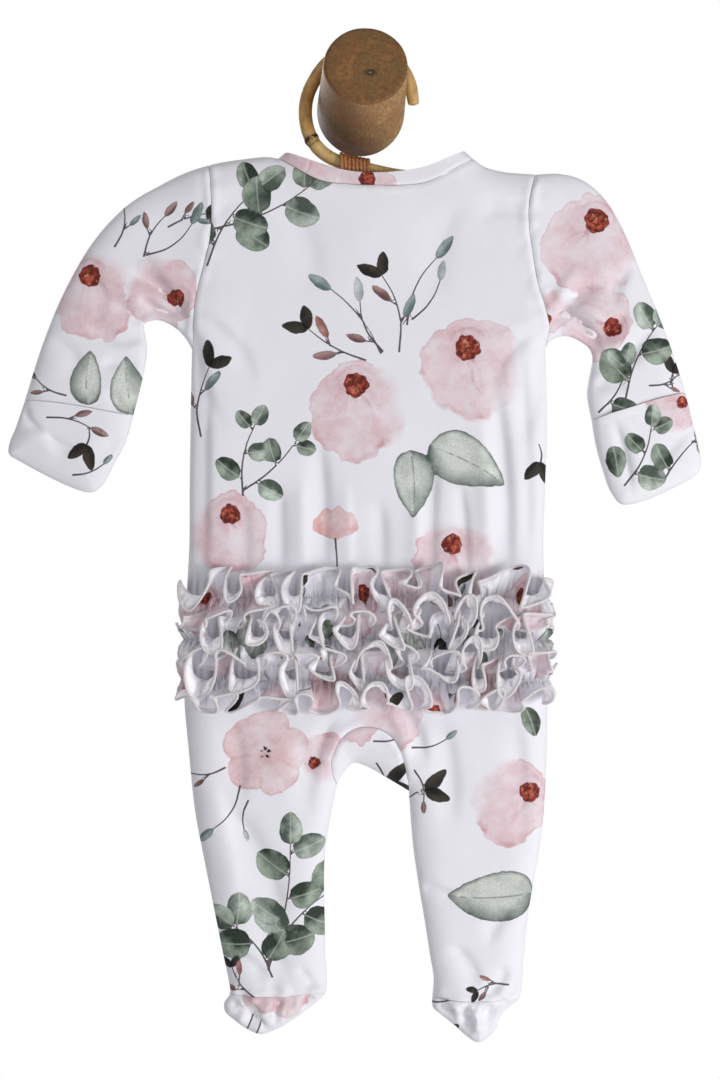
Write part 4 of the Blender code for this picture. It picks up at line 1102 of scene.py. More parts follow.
def paint_twig(canvas, x, z, size, angle, seed, end, sides):
    """A stem with one leaf or a pair at its end, and small almond leaves off its sides."""
    rng = np.random.default_rng(seed)
    at, heading = curve_of(x, z, size * 0.80, angle, rng.uniform(0.05, 0.12) * (1 if seed % 2 else -1))
    paint_stem(canvas, [at(t) for t in (0.0, 0.35, 0.7, 1.0)])
    tip, way = at(1.0), heading(0.97)
    leaf = min(17.0, size * 0.36)
    if end == "dark":
        for k, turn in enumerate((34, -38)):
            paint_leaf(canvas, *tip, leaf * (1.0 - 0.1 * k), way + turn, leaf * 0.46, "dark", seed + k, k, 0.65, 0.8)
    else:
        paint_leaf(canvas, *tip, leaf * 1.05, way + 6, leaf * 0.40, end, seed, 0, 0.7, 0.9, 0.5)
    for k, t in enumerate(sides):
        turn = (1 if (k + seed) % 2 else -1) * rng.uniform(32, 48)
        tone = ("rosy", "mauve", "blue", "mauve")[(seed + k) % 4]
        base = at(t)
        way = heading(t) + turn
        out = base + turned(way) * 4.5
        paint_stem(canvas, [base, (base + out) / 2, out], 0.32)
        paint_leaf(canvas, *out, leaf * 0.95, way - turn * 0.25, leaf * 0.34, tone, seed + 5 + k, k % 2, 0.7, 0.85)


def paint_gum(canvas, x, z, size, angle, seed, leaf, count):
    """A spray of round leaves on both sides of a stem, smaller towards its tip."""
    rng = np.random.default_rng(seed)
    at, heading = curve_of(x, z, size, angle, rng.uniform(0.04, 0.10) * (1 if seed % 2 else -1))
    paint_stem(canvas, [at(t) for t in (0.0, 0.35, 0.7, 1.0)], 0.44)
    for k in range(count):
        t = 0.20 + 0.72 * k / max(count - 1, 1)
        side = 1 if (k + seed) % 2 else -1
        reach = leaf * (1.1 - 0.30 * t) * rng.uniform(0.88, 1.1)
        way = heading(t) + side * rng.uniform(42, 66)
        base = at(t)
        out = base + turned(way) * 2.5
        paint_stem(canvas, [base, (base + out) / 2, out], 0.30)
        tone = "green" if (k + seed) % 3 else "sage"
        paint_leaf(canvas, *out, reach, way + side * 6, reach * rng.uniform(0.72, 0.84), tone, seed * 3 + k, k % 2, 0.42, 0.55, 1.0, 0.02 * side)
    tip, way = at(1.0), heading(0.97)
    paint_leaf(canvas, *tip, leaf * 0.85, way, leaf * 0.62, "sage", seed * 3 + 20, count % 2, 0.42, 0.55, 1.0)


def paint_poppy(canvas, x, z, size, angle, seed):
    """A flower from the side: a low coral dome on a thin stem."""
    i = canvas.near(x, z, size + 6)
    if not len(i):
        return
    p = canvas.at[i] - (x, z)
    half, high = size / 2, size * 0.46
    arc = high * np.sqrt(np.clip(1 - (p[:, 0] / half) ** 2, 0, 1)) * (1 + 0.10 * np.sin(p[:, 0] * 0.7))
    bottom = -high * 0.55 * np.clip(1 - abs(p[:, 0] / half), 0, 1) ** 0.7
    d = np.maximum(np.maximum(p[:, 1] - arc, bottom - p[:, 1]), abs(p[:, 0]) - half)
    s = 0.45 + 0.18 * noise(canvas.at[i], 4, seed) - 0.4 * p[:, 1] / high + 0.10 * np.sin(p[:, 0] * 1.1)
    colour = ramp(s, (0.80, 0.56, 0.55), (0.72, 0.36, 0.34), (0.56, 0.20, 0.18))
    take = d < np.minimum(canvas.rose_d[i], 8.0)
    j = i[take]
    canvas.rose_d[j], canvas.rose_soft[j], canvas.rose_c[j] = d[take], 0.8, colour[take]
    paint_stem(canvas, [(x, z - high * 0.5), (x + 1.0, z - size * 0.8), (x - 0.5, z - size * 1.25)], 0.42)


def paint(canvas, rows, mirror=None, shift=(0.0, 0.0), wrap=(0.0, 0.0)):
    """Paints a table of motifs. A mirror turns them about a height of x, and a wrap repeats them."""
    steps_x = (-1, 0, 1) if wrap[0] else (0,)
    steps_z = (-1, 0, 1) if wrap[1] else (0,)
    low, high = canvas.at.min(0) - 70, canvas.at.max(0) + 70
    for row in rows:
        for kx in steps_x:
            for kz in steps_z:
                x = row["x"] if mirror is None else 2 * mirror - row["x"]
                angle = row["angle"] if mirror is None else 180 - row["angle"]
                x, z = x + shift[0] + kx * wrap[0], row["z"] + shift[1] + kz * wrap[1]
                if not (low[0] < x < high[0] and low[1] < z < high[1]):
                    continue
                kind, size, seed = row["kind"], row["size"], row["seed"]
                if kind == "rose":
                    paint_rose(canvas, x, z, size, angle, seed)
                elif kind == "bloom":
                    paint_bloom(canvas, x, z, size, angle, seed)
                elif kind == "poppy":
                    paint_poppy(canvas, x, z, size, angle, seed)
                elif kind == "gum":
                    paint_gum(canvas, x, z, size, angle, seed, 23.5, max(3, int(size / 15)))
                elif kind == "gum_small":
                    paint_gum(canvas, x, z, size, angle, seed, 16.5, max(2, int(size / 13)))
                elif kind == "big_leaf":
                    paint_leaf(canvas, x, z, size, angle, size * 0.60, "big", seed, 0, 0.46, 0.86, -0.8, 0.04)
                elif kind == "leaf_green":
                    paint_leaf(canvas, x, z, size, angle, size * 0.62, "green", seed, 0, 0.5, 0.7, 1.0, 0.03)
                elif kind == "twin":
                    for k, turn in enumerate((30, -34)):
                        paint_leaf(canvas, x, z, size * (1 - 0.1 * k), angle + turn, size * 0.44, "dark", seed + k, k, 0.65, 0.8)
                    paint_stem(canvas, [(x, z), (x, z) - turned(angle) * 5, (x, z) - turned(angle + 12) * 10])
                elif kind == "twig_dark":
                    paint_twig(canvas, x, z, size, angle, seed, "dark", (0.34, 0.58))
                elif kind == "twig_sage":
                    paint_twig(canvas, x, z, size, angle, seed, "blue", ())
                elif kind == "twig_pale":
                    paint_twig(canvas, x, z, size, angle, seed, "pale", (0.2,) if size > 40 else ())
                elif kind == "twig_mauve":
                    paint_twig(canvas, x, z, size, angle, seed, "mauve", (0.45,))


def store(mesh, canvas):
    """Writes the painted values to a mesh's points."""
    def vector(name, *columns):
        mesh.attributes.new(name, "FLOAT_VECTOR", "POINT").data.foreach_set(
            "vector", np.stack(columns, 1).astype(np.float32).ravel()
        )

    def colour(name, rgb, alpha):
        mesh.attributes.new(name, "FLOAT_COLOR", "POINT").data.foreach_set(
            "color", np.column_stack([rgb, alpha]).astype(np.float32).ravel()
        )

    vector("rose", canvas.rose_d, canvas.rose_soft, canvas.speck)
    colour("rose_tint", canvas.rose_c, np.ones(len(canvas.at)))
    for name, layer in (("leaf", canvas.leaf[0]), ("over", canvas.leaf[1])):
        vector(name, layer["d"], layer["a"], layer["b"])
        colour(name + "_tint", layer["c"], layer["vein"])
    vector("stem", canvas.stem_a, canvas.stem_d, canvas.stem_w)


# ---------------------------------------------------------------- materials
class Graph:
    """Short words for building a material's nodes."""

    def __init__(self, name):
        self.material = bpy.data.materials.new(name)
        self.material.use_nodes = True
        self.tree = self.material.node_tree
        self.shader = self.tree.nodes["Principled BSDF"]

    def node(self, kind, **settings):
        made = self.tree.nodes.new(kind)
        for key, value in settings.items():
            setattr(made, key, value)
        return made

    def put(self, value, socket):
        if isinstance(value, bpy.types.NodeSocket):
            self.tree.links.new(value, socket)
        else:
            socket.default_value = value

    def math(self, operation, a, b=0.0, c=0.0, clamp=False):
        made = self.node("ShaderNodeMath", operation=operation, use_clamp=clamp)
        for k, value in enumerate((a, b, c)):
            if k < len(made.inputs):
                self.put(value, made.inputs[k])
        return made.outputs[0]

    def fade(self, value, low, high, to_low=0.0, to_high=1.0):
        """A smooth step of value from low to high."""
        made = self.node("ShaderNodeMapRange", interpolation_type="SMOOTHSTEP")
        for k, v in enumerate((value, low, high, to_low, to_high)):
            self.put(v, made.inputs[k])
        return made.outputs[0]

    def mix(self, factor, a, b, blend="MIX"):
        made = self.node("ShaderNodeMix", data_type="RGBA", blend_type=blend)
        made.clamp_factor = True
        self.put(factor, made.inputs[0])
        self.put(a if isinstance(a, bpy.types.NodeSocket) else (*a, 1), made.inputs[6])
        self.put(b if isinstance(b, bpy.types.NodeSocket) else (*b, 1), made.inputs[7])
        return made.outputs[2]

    def place(self, scale=(1, 1, 1), rotation=(0, 0, 0)):
        """The surface's own place, in metres, scaled."""
        where = self.node("ShaderNodeTexCoord").outputs["Object"]
        turn = self.node("ShaderNodeMapping")
        self.put(where, turn.inputs["Vector"])
        self.put(scale, turn.inputs["Scale"])
        self.put(rotation, turn.inputs["Rotation"])
        return turn.outputs[0]

    def noise(self, vector, scale, detail=3.0, rough=0.55):
        made = self.node("ShaderNodeTexNoise")
        self.put(vector, made.inputs["Vector"])
        self.put(scale, made.inputs["Scale"])
        self.put(detail, made.inputs["Detail"])
        self.put(rough, made.inputs["Roughness"])
        return made.outputs["Fac"]

    def parts(self, vector):
        made = self.node("ShaderNodeSeparateXYZ")
        self.put(vector, made.inputs[0])
        return made.outputs

    def attribute(self, name):
        return self.node("ShaderNodeAttribute", attribute_type="GEOMETRY", attribute_name=name)

    def bump(self, height, strength, distance, normal=None):
        made = self.node("ShaderNodeBump")
        self.put(strength, made.inputs["Strength"])
        self.put(distance, made.inputs["Distance"])
        self.put(height, made.inputs["Height"])
        if normal:
            self.put(normal, made.inputs["Normal"])
        return made.outputs[0]

    def finish(self, colour, rough, normal=None, **values):
        self.put(colour, self.shader.inputs["Base Color"])
        self.put(rough, self.shader.inputs["Roughness"])
        if normal:
            self.put(normal, self.shader.inputs["Normal"])
        for key, value in values.items():
            self.put(value, self.shader.inputs[key.replace("_", " ").title().replace("Ior", "IOR")])
        return self.material


WHITE_CLOTH = (0.80, 0.79, 0.865)


def knit(g):
    """Height of fine jersey: columns of small stitches."""
    where = g.parts(g.place())
    column = g.math("SINE", g.math("MULTIPLY", where[0], 2 * math.pi / 0.0011))
    lift = g.math("MULTIPLY", g.math("ABSOLUTE", column), 0.0006)
    row = g.math("SINE", g.math("MULTIPLY", g.math("ADD", where[2], lift), 2 * math.pi / 0.0009))
    return g.math("ADD", g.math("MULTIPLY", column, 0.6), g.math("MULTIPLY", row, 0.4))


def jersey(name, printed, painted_glow=0.0):
    """Jersey with or without the print. A painted glow is painted light: the cloth emits its own colour, in place of
    the light that comes through a single thin layer.
    """
    g = Graph(name)
    where = g.place()
    grain = g.noise(where, 900.0, 3.0)
    cloud = g.noise(where, 140.0, 4.0)
    base = g.mix(cloud, (0.835, 0.825, 0.885), (0.865, 0.855, 0.905))
    if not printed:
        faint = g.fade(g.noise(where, 30.0, 3.0), 0.50, 0.66)
        base = g.mix(g.math("MULTIPLY", faint, 0.35), (0.875, 0.865, 0.90), (0.85, 0.74, 0.76))
    colour = base
    if printed:
        wobble = g.math("MULTIPLY", g.math("SUBTRACT", g.noise(where, 420.0, 3.0), 0.5), 1.1)
        rose = g.attribute("rose")
        d, soft, speck = g.parts(rose.outputs["Vector"])
        d = g.math("ADD", d, g.math("MULTIPLY", wobble, 1.6))
        reach = g.math("MAXIMUM", soft, 0.5)
        cover = g.math("DIVIDE", g.math("MULTIPLY", d, -1.0), reach, clamp=True)
        tint = g.attribute("rose_tint").outputs["Color"]
        pool = g.fade(g.math("ABSOLUTE", g.math("ADD", d, 0.7)), 0.1, 1.3, 1.0, 0.0)
        crisp = g.fade(soft, 0.8, 3.0, 1.0, 0.0)
        tint = g.mix(g.math("MULTIPLY", g.math("MULTIPLY", pool, crisp), 0.5), tint, (0.58, 0.29, 0.32), "MIX")
        wash = g.fade(g.noise(where, 230.0, 5.0, 0.65), 0.30, 0.72)
        tint = g.mix(g.math("MULTIPLY", wash, 0.16), tint, (0.88, 0.76, 0.78))
        flow = g.fade(g.noise(where, 75.0, 5.0, 0.7), 0.42, 0.66)
        tint = g.mix(g.math("MULTIPLY", flow, 0.30), tint, (0.66, 0.39, 0.43))
        fleck = g.fade(g.noise(where, 480.0, 3.0, 0.6), 0.66, 0.74)
        tint = g.mix(g.math("MULTIPLY", fleck, 0.5), tint, (0.60, 0.30, 0.33))
        thin = g.fade(g.noise(where, 58.0, 4.0, 0.6), 0.34, 0.62, 0.50, 1.0)
        ragged = g.fade(g.noise(where, 260.0, 4.0, 0.75), 0.30, 0.50, 0.72, 1.0)
        cover = g.math("MULTIPLY", g.math("MULTIPLY", cover, thin), ragged)
        colour = g.mix(cover, colour, tint)
        a, away, width = g.parts(g.attribute("stem").outputs["Vector"])
        line = g.math("SUBTRACT", g.math("ABSOLUTE", g.math("ADD", a, g.math("MULTIPLY", wobble, 0.25))), width)
        line = g.math("MULTIPLY", g.fade(line, -0.12, 0.22, 1.0, 0.0), g.fade(away, 1.3, 1.7, 1.0, 0.0))
        colour = g.mix(g.math("MULTIPLY", line, 0.95), colour, (0.070, 0.048, 0.056))
        rags = g.math("SUBTRACT", g.noise(where, 250.0, 4.0, 0.7), 0.5)
        for layer in ("leaf", "over"):
            d, along, across = g.parts(g.attribute(layer).outputs["Vector"])
            info = g.attribute(layer + "_tint")
            d = g.math("ADD", d, g.math("MULTIPLY", wobble, 0.45))
            d = g.math("ADD", d, g.math("MULTIPLY", rags, g.math("MULTIPLY", speck, 6.5)))
            cover = g.fade(d, -0.30, 0.30, 1.0, 0.0)
            vein = info.outputs["Alpha"]
            middle = g.fade(g.math("ABSOLUTE", across), 0.15, 0.75, 1.0, 0.0)
            slant = g.math("SUBTRACT", along, g.math("MULTIPLY", g.math("ABSOLUTE", across), 0.8))
            ribs = g.fade(g.math("ABSOLUTE", g.math("SINE", g.math("MULTIPLY", slant, 0.85))), 0.0, 0.22, 1.0, 0.0)
            light = g.math("MAXIMUM", vein, 0.0)
            pale = g.math("MULTIPLY", g.math("MAXIMUM", middle, g.math("MULTIPLY", ribs, 0.16)), light)
            tint = g.mix(g.math("MULTIPLY", pale, 0.34), info.outputs["Color"], (0.62, 0.68, 0.60))
            dim = g.math("MULTIPLY", g.math("MAXIMUM", g.math("MULTIPLY", vein, -1.0), 0.0), g.fade(g.noise(where, 90.0), 0.42, 0.55))
            tint = g.mix(g.math("MULTIPLY", g.math("MULTIPLY", middle, dim), 0.8), tint, (0.10, 0.12, 0.10))
            tint = g.mix(g.fade(grain, 0.35, 0.7), tint, g.mix(1.0, tint, (1.22, 1.22, 1.22), "MULTIPLY"))
            rim = g.fade(d, -1.3, -0.2, 0.0, 0.38)
            tint = g.mix(rim, tint, g.mix(1.0, tint, (0.45, 0.45, 0.45), "MULTIPLY"))
            colour = g.mix(g.math("MULTIPLY", cover, 0.99), colour, tint)
        dots = g.node("ShaderNodeTexVoronoi")
        g.put(where, dots.inputs["Vector"])
        g.put(760.0, dots.inputs["Scale"])
        dot = g.math("MULTIPLY", g.fade(dots.outputs["Distance"], 0.16, 0.30, 1.0, 0.0), g.fade(speck, 0.35, 0.6))
        heart = g.fade(speck, 0.72, 0.86)
        curls = g.math("MULTIPLY", g.fade(g.noise(where, 270.0, 4.0, 0.75), 0.44, 0.56), heart)
        colour = g.mix(g.math("MULTIPLY", curls, 0.85), colour, (0.085, 0.010, 0.008))
        glints = g.math("MULTIPLY", g.fade(g.noise(where, 330.0, 3.0, 0.6), 0.58, 0.66), heart)
        colour = g.mix(g.math("MULTIPLY", glints, 0.8), colour, (0.62, 0.26, 0.16))
        colour = g.mix(g.math("MULTIPLY", dot, 0.75), colour, (0.045, 0.014, 0.012))
    bump = g.bump(knit(g), 0.10, 0.0003)
    bump = g.bump(cloud, 0.10, 0.0015, bump)
    if painted_glow:
        # fine gathers run out from the stitching and die away towards the edge, and their valleys are painted darker:
        # painted shade
        strip = g.node("ShaderNodeMapping")
        g.put(g.attribute("gather").outputs["Vector"], strip.inputs["Vector"])
        g.put((0.30, 0.055, 1.0), strip.inputs["Scale"])
        away = g.math("ABSOLUTE", g.parts(g.attribute("gather").outputs["Vector"])[1])
        lines = g.noise(strip.outputs["Vector"], 1.0, 3.0, 0.6)
        weight = g.fade(away, 2.0, 17.0, 0.80, 0.26 if printed else 0.60)
        bump = g.bump(g.math("MULTIPLY", lines, weight), 0.9, 0.0022, bump)
        colour = g.mix(g.math("MULTIPLY", g.fade(lines, 0.34, 0.47, 1.0, 0.0), weight), colour, g.mix(1.0, colour, (0.42, 0.40, 0.44), "MULTIPLY"))
    rough = g.fade(grain, 0.2, 0.8, 0.62, 0.78)
    # painted shade: the cloth is darkened in the hollows of the ruffles' gathers, on the back near their stitching, and
    # along the ruffles' stitch line
    if painted_glow or printed:
        painted_shade_and_stitch = g.attribute("painted_shade_and_stitch").outputs["Fac"]
        colour = g.mix(painted_shade_and_stitch, colour, g.mix(1.0, colour, (0.30, 0.29, 0.32), "MULTIPLY"))
    # painted light: the thin cloth glows in its own colour
    if painted_glow:
        g.put(colour, g.shader.inputs["Emission Color"])
        g.put(painted_glow, g.shader.inputs["Emission Strength"])
    return g.finish(colour, rough, bump, specular_ior_level=0.22, sheen_weight=0.12, sheen_roughness=0.35)


def hem_thread():
    """The overlocked edge of the ruffles: close-set pale pink thread."""
    g = Graph("rolled_edge")
    where = g.parts(g.place())
    turns = g.math("SINE", g.math("MULTIPLY", g.math("ADD", where[0], g.math("MULTIPLY", where[2], 0.8)), 2 * math.pi / 0.0013))
    cloud = g.noise(g.place(), 260.0)
    # the grooves between the thread's turns are painted darker: painted shade
    colour = g.mix(g.fade(turns, -1.0, 0.6), (0.64, 0.60, 0.62), (0.80, 0.77, 0.79))
    colour = g.mix(g.math("MULTIPLY", cloud, 0.35), colour, (0.84, 0.76, 0.76))
    return g.finish(colour, 0.6, g.bump(turns, 0.25, 0.0004), sheen_weight=0.2, sheen_roughness=0.4)


def cane(name, pale):
    g = Graph(name)
    where = g.place((1, 1, 1))
    stretch = g.noise(g.place((300, 300, 60)), 1.0, 5.0, 0.7)
    broad = g.noise(where, 45.0, 3.0)
    fine = g.noise(where, 700.0, 4.0, 0.7)
    light = (0.64, 0.43, 0.18) if pale else (0.60, 0.37, 0.13)
    colour = g.mix(g.fade(broad, 0.32, 0.58), (0.34, 0.16, 0.045), light)
    tone = g.attribute("tone").outputs["Fac"]
    colour = g.mix(g.fade(tone, 0.0, 1.0), colour, (0.74, 0.53, 0.22))
    colour = g.mix(g.math("MULTIPLY", g.fade(stretch, 0.46, 0.66), 0.5), colour, (0.24, 0.105, 0.03))
    colour = g.mix(g.math("MULTIPLY", g.fade(fine, 0.56, 0.70), 0.35), colour, (0.15, 0.075, 0.03))
    ring = g.attribute("ring").outputs["Fac"]
    ring = g.math("MULTIPLY", ring, g.fade(g.noise(where, 330.0, 4.0, 0.7), 0.34, 0.50), clamp=True)
    colour = g.mix(ring, colour, (0.035, 0.017, 0.010))
    rough = g.fade(broad, 0.2, 0.8, 0.26, 0.40)
    return g.finish(colour, rough, g.bump(fine, 0.08, 0.0005, g.bump(stretch, 0.06, 0.0006)), coat_weight=0.25, coat_roughness=0.2)


def cord_material():
    g = Graph("binding_cord")
    where = g.place()
    streak = g.noise(g.place((500, 3000, 500)), 1.0, 4.0)
    broad = g.noise(where, 160.0)
    colour = g.mix(g.fade(streak, 0.3, 0.7), (0.30, 0.085, 0.024), (0.58, 0.27, 0.095))
    colour = g.mix(g.fade(broad, 0.50, 0.75, 0.0, 0.7), colour, (0.20, 0.050, 0.018))
    side = g.attribute("tone").outputs["Fac"]
    colour = g.mix(side, colour, (0.085, 0.020, 0.009))
    return g.finish(colour, 0.42, g.bump(streak, 0.25, 0.0005), coat_weight=0.15)


def peg_side():
    g = Graph("peg_bark")
    fibre = g.noise(g.place((900, 60, 900)), 1.0, 5.0, 0.65)
    fine = g.noise(g.place((2600, 160, 2600)), 1.0, 4.0, 0.7)
    broad = g.noise(g.place(), 38.0, 3.0)
    height = g.parts(g.place())
    colour = g.mix(g.fade(fibre, 0.32, 0.68), (0.20, 0.095, 0.034), (0.55, 0.335, 0.13))
    colour = g.mix(g.math("MULTIPLY", g.fade(fine, 0.42, 0.70), 0.55), colour, (0.62, 0.42, 0.19))
    colour = g.mix(g.math("MULTIPLY", g.fade(broad, 0.36, 0.58, 1.0, 0.0), 0.60), colour, (0.30, 0.14, 0.050))
    shade = g.fade(g.math("ADD", height[2], g.math("MULTIPLY", height[0], 0.75)), -0.034, 0.006, 0.86, 0.0)
    colour = g.mix(shade, colour, (0.070, 0.036, 0.018))
    stain = g.fade(g.noise(g.place(), 62.0, 4.0, 0.6), 0.50, 0.66)
    colour = g.mix(g.math("MULTIPLY", stain, 0.45), colour, (0.27, 0.095, 0.040))
    bump = g.bump(fine, 0.22, 0.0006, g.bump(fibre, 0.3, 0.0009))
    return g.finish(colour, 0.60, bump, specular_ior_level=0.4)


def peg_end():
    """End grain: uneven growth rings about a pith that is off the middle, with a small dark crack."""
    g = Graph("peg_end_grain")
    axis = Vector(PEG_FACE).normalized()
    face = np.array(PEG_FACE) * 0.001
    across = axis.cross(Vector((0, 0, 1))).normalized()
    third = across.cross(axis)
    where = g.node("ShaderNodeTexCoord").outputs["Object"]

    def along(direction, offset):
        dot = g.node("ShaderNodeVectorMath", operation="DOT_PRODUCT")
        g.put(where, dot.inputs[0])
        g.put(tuple(direction), dot.inputs[1])
        return g.math("SUBTRACT", dot.outputs["Value"], offset)

    centre = Vector(face)
    u = along(across, centre.dot(across) - 0.003)
    v = along(third, centre.dot(third) - 0.004)
    wander = g.math("MULTIPLY", g.math("SUBTRACT", g.noise(g.place(), 75.0, 4.0, 0.6), 0.5), 0.0095)
    radius = g.math("ADD", g.math("SQRT", g.math("ADD", g.math("MULTIPLY", u, u), g.math("MULTIPLY", v, v))), wander)
    rings = g.math("SINE", g.math("MULTIPLY", radius, 2 * math.pi / 0.0023))
    rings = g.math("ADD", rings, g.math("SINE", g.math("MULTIPLY", radius, 2 * math.pi / 0.0061)))
    fine = g.noise(g.place(), 1500.0, 4.0, 0.7)
    broad = g.noise(g.place(), 70.0, 4.0)
    colour = g.mix(g.fade(rings, -1.6, 1.6, 0.42, 0.62), (0.125, 0.060, 0.020), (0.27, 0.145, 0.052))
    colour = g.mix(g.math("MULTIPLY", g.fade(broad, 0.40, 0.62), 0.65), colour, (0.23, 0.092, 0.032))
    patch = g.noise(g.place(), 130.0, 4.0, 0.65)
    colour = g.mix(g.math("MULTIPLY", g.fade(patch, 0.52, 0.64), 0.55), colour, (0.36, 0.150, 0.050))
    colour = g.mix(g.math("MULTIPLY", g.fade(patch, 0.36, 0.46, 1.0, 0.0), 0.50), colour, (0.165, 0.120, 0.045))
    mottle = g.noise(g.place(), 420.0, 5.0, 0.75)
    colour = g.mix(g.math("MULTIPLY", g.fade(mottle, 0.46, 0.62), 0.55), colour, (0.080, 0.042, 0.016))
    colour = g.mix(g.math("MULTIPLY", g.fade(fine, 0.46, 0.72), 0.42), colour, (0.40, 0.24, 0.090))
    edge = g.fade(radius, 0.016, 0.027, 0.0, 0.30)
    colour = g.mix(edge, colour, (0.12, 0.055, 0.026))
    # the crack: a short dark star at the pith
    cu, cv = g.math("ADD", u, -0.0005), g.math("ADD", v, 0.0005)
    size = g.math("SQRT", g.math("ADD", g.math("MULTIPLY", cu, cu), g.math("MULTIPLY", g.math("MULTIPLY", cv, cv), 2.6)))
    size = g.math("ADD", size, g.math("MULTIPLY", g.math("SUBTRACT", g.noise(g.place(), 520.0, 4.0, 0.7), 0.5), 0.0042))
    crack = g.fade(size, 0.0012, 0.0056, 1.0, 0.0)
    colour = g.mix(g.math("MULTIPLY", crack, 0.85), colour, (0.030, 0.018, 0.012))
    colour = g.mix(g.math("MULTIPLY", g.fade(size, 0.0002, 0.0013, 1.0, 0.0), 0.7), colour, (0.42, 0.34, 0.27))
    height = g.math("ADD", g.math("MULTIPLY", rings, 0.25), g.math("SUBTRACT", fine, g.math("MULTIPLY", crack, 3.0)))
    return g.finish(colour, 0.58, g.bump(height, 0.3, 0.0006), specular_ior_level=0.25)


def pearl():
    g = Graph("snap_cap")
    swirl = g.noise(g.place(), 320.0, 4.0)
    colour = g.mix(swirl, (0.78, 0.76, 0.74), (0.90, 0.89, 0.87))
    return g.finish(colour, g.fade(swirl, 0.2, 0.8, 0.20, 0.32), g.bump(swirl, 0.04, 0.0003), coat_weight=0.5, coat_roughness=0.12)


PRINTED, PLAIN = jersey("printed_jersey", True), jersey("jersey_inside", False)
EDGE_THREAD = hem_thread()
# the ruffles' cloth glows a little, painted light
THIN_PRINTED, THIN_PLAIN = jersey("ruffle_print", True, 0.10), jersey("ruffle_inside", False, 0.19)
CANE, CANE_BAR, CORD_MAT = cane("cane_hook", False), cane("cane_bar", True), cord_material()
PEG_SIDE, PEG_END, PEARL = peg_side(), peg_end(), pearl()


# ---------------------------------------------------------------- pieces
def build(name, place, faces, materials, index=None, sharp=50):
    mesh = bpy.data.meshes.new(name)
    faces = np.asarray(faces)
    place = np.asarray(place, float) * 0.001
    mesh.vertices.add(len(place))
    mesh.vertices.foreach_set("co", place.astype(np.float32).ravel())
    corners = faces.shape[1]
    mesh.loops.add(faces.size)
    mesh.loops.foreach_set("vertex_index", faces.astype(np.int32).ravel())
    mesh.polygons.add(len(faces))
    mesh.polygons.foreach_set("loop_start", np.arange(0, faces.size, corners, dtype=np.int32))
    for material in materials:
        mesh.materials.append(material)
    if index is not None:
        mesh.polygons.foreach_set("material_index", np.asarray(index, np.int32))
    mesh.update(calc_edges=True)
    mesh.validate()
    mesh.shade_smooth()
    if sharp:
        mesh.set_sharp_from_angle(angle=math.radians(sharp))
    piece = bpy.data.objects.new(name, mesh)
    bpy.context.scene.collection.objects.link(piece)
    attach(piece, "root")
    return piece


def floats(mesh, name, values):
    mesh.attributes.new(name, "FLOAT", "POINT").data.foreach_set("value", np.asarray(values, np.float32))


REGIONS = {
    "back": (
        "-neck_back_seam shoulder_left armhole_left side_left ankle_left leg_in_left arch_left arch_right leg_in_right -ankle_right side_right "
        "-armhole_right shoulder_right",
        BACK,
        1.5,
    ),
    "front_left": (
        "-front_seam_left shoulder_left armhole_left side_left ankle_left leg_in_left arch_left -front_middle",
        FRONT,
        2.0,
    ),
    "front_right": (
        "-front_seam_right front_middle arch_right leg_in_right -ankle_right side_right -armhole_right shoulder_right",
        FRONT,
        2.0,
    ),
    "foot_sole_left": ("-ankle_left foot_end_left", BACK, 1.0),
    "foot_upper_left": ("-ankle_left foot_end_left", FRONT, 1.0),
    "foot_sole_right": ("ankle_right foot_end_right", BACK, 1.0),
    "foot_upper_right": ("ankle_right foot_end_right", FRONT, 1.0),
}
RINGS = {
    "sleeve_left": (("sleeve_out_left mitten_edge_left sleeve_in_left -armhole_left",) * 2, 1.5),
    "sleeve_right": (("sleeve_in_right -mitten_edge_right sleeve_out_right armhole_right",) * 2, 1.5),
    "mitten_left": (("mitten_end_left -mitten_edge_left",) * 2, 1.3),
    "mitten_right": (("mitten_end_right mitten_edge_right",) * 2, 1.3),
    "neckband": (
        (
            "-neck_back_top band_side_left neck_back_seam band_side_right",
            "-neck_front_top band_side_left front_seam_left front_seam_right band_side_right",
        ),
        1.1,
    ),
    "crotch_gusset": (("fold -arch_right -arch_left",) * 2, 1.3),
}


def print_for(name, flat, side):
    """The painted values of a piece's points."""
    canvas = Canvas(flat)
    if name == "back":
        paint(canvas, PRINT_BACK)
    elif name.startswith("front"):
        paint(canvas, PRINT_BACK, mirror=12.0, shift=(0.0, 128.0), wrap=(0.0, 520.0))
    elif name.startswith("sleeve"):
        paint(canvas, PRINT_SLEEVES)
    elif name.startswith("mitten"):
        paint(canvas, PRINT_MITTENS)
    elif name == "neckband":
        paint(canvas, PRINT_NECK)
    elif name == "crotch_gusset":
        paint(canvas, PRINT_BACK, shift=(-24.0, 4.0))
    else:
        paint(canvas, PRINT_BACK, shift=(8.0, -140.0 if "left" in name else -160.0))
    return canvas


def painted_shade_under_ruffles(flat):
    """How much painted shade darkens the back close to the rows of stitching that hold the ruffles, in stripes like
    fine gathers.
    """
    x, z = flat[:, 0], flat[:, 1]
    deep = np.zeros(len(flat))
    for row in RIBBONS:
        off = z - row["height"]
        band = step_up(off, -9.0, -1.0) * (1 - step_up(off, 6.0, 19.0))
        turn = x * 1.45 + 2.1 * np.sin(x * 0.21 + row["start"]) + 0.5 * np.sin(off * 0.33)
        fold = 0.5 + 0.5 * np.sin(turn + 0.8 * np.sin(x * 0.67 + row["start"]))
        deep = np.maximum(deep, band * (0.20 + 0.50 * fold**1.6))
    return np.clip(deep, 0, 0.8)


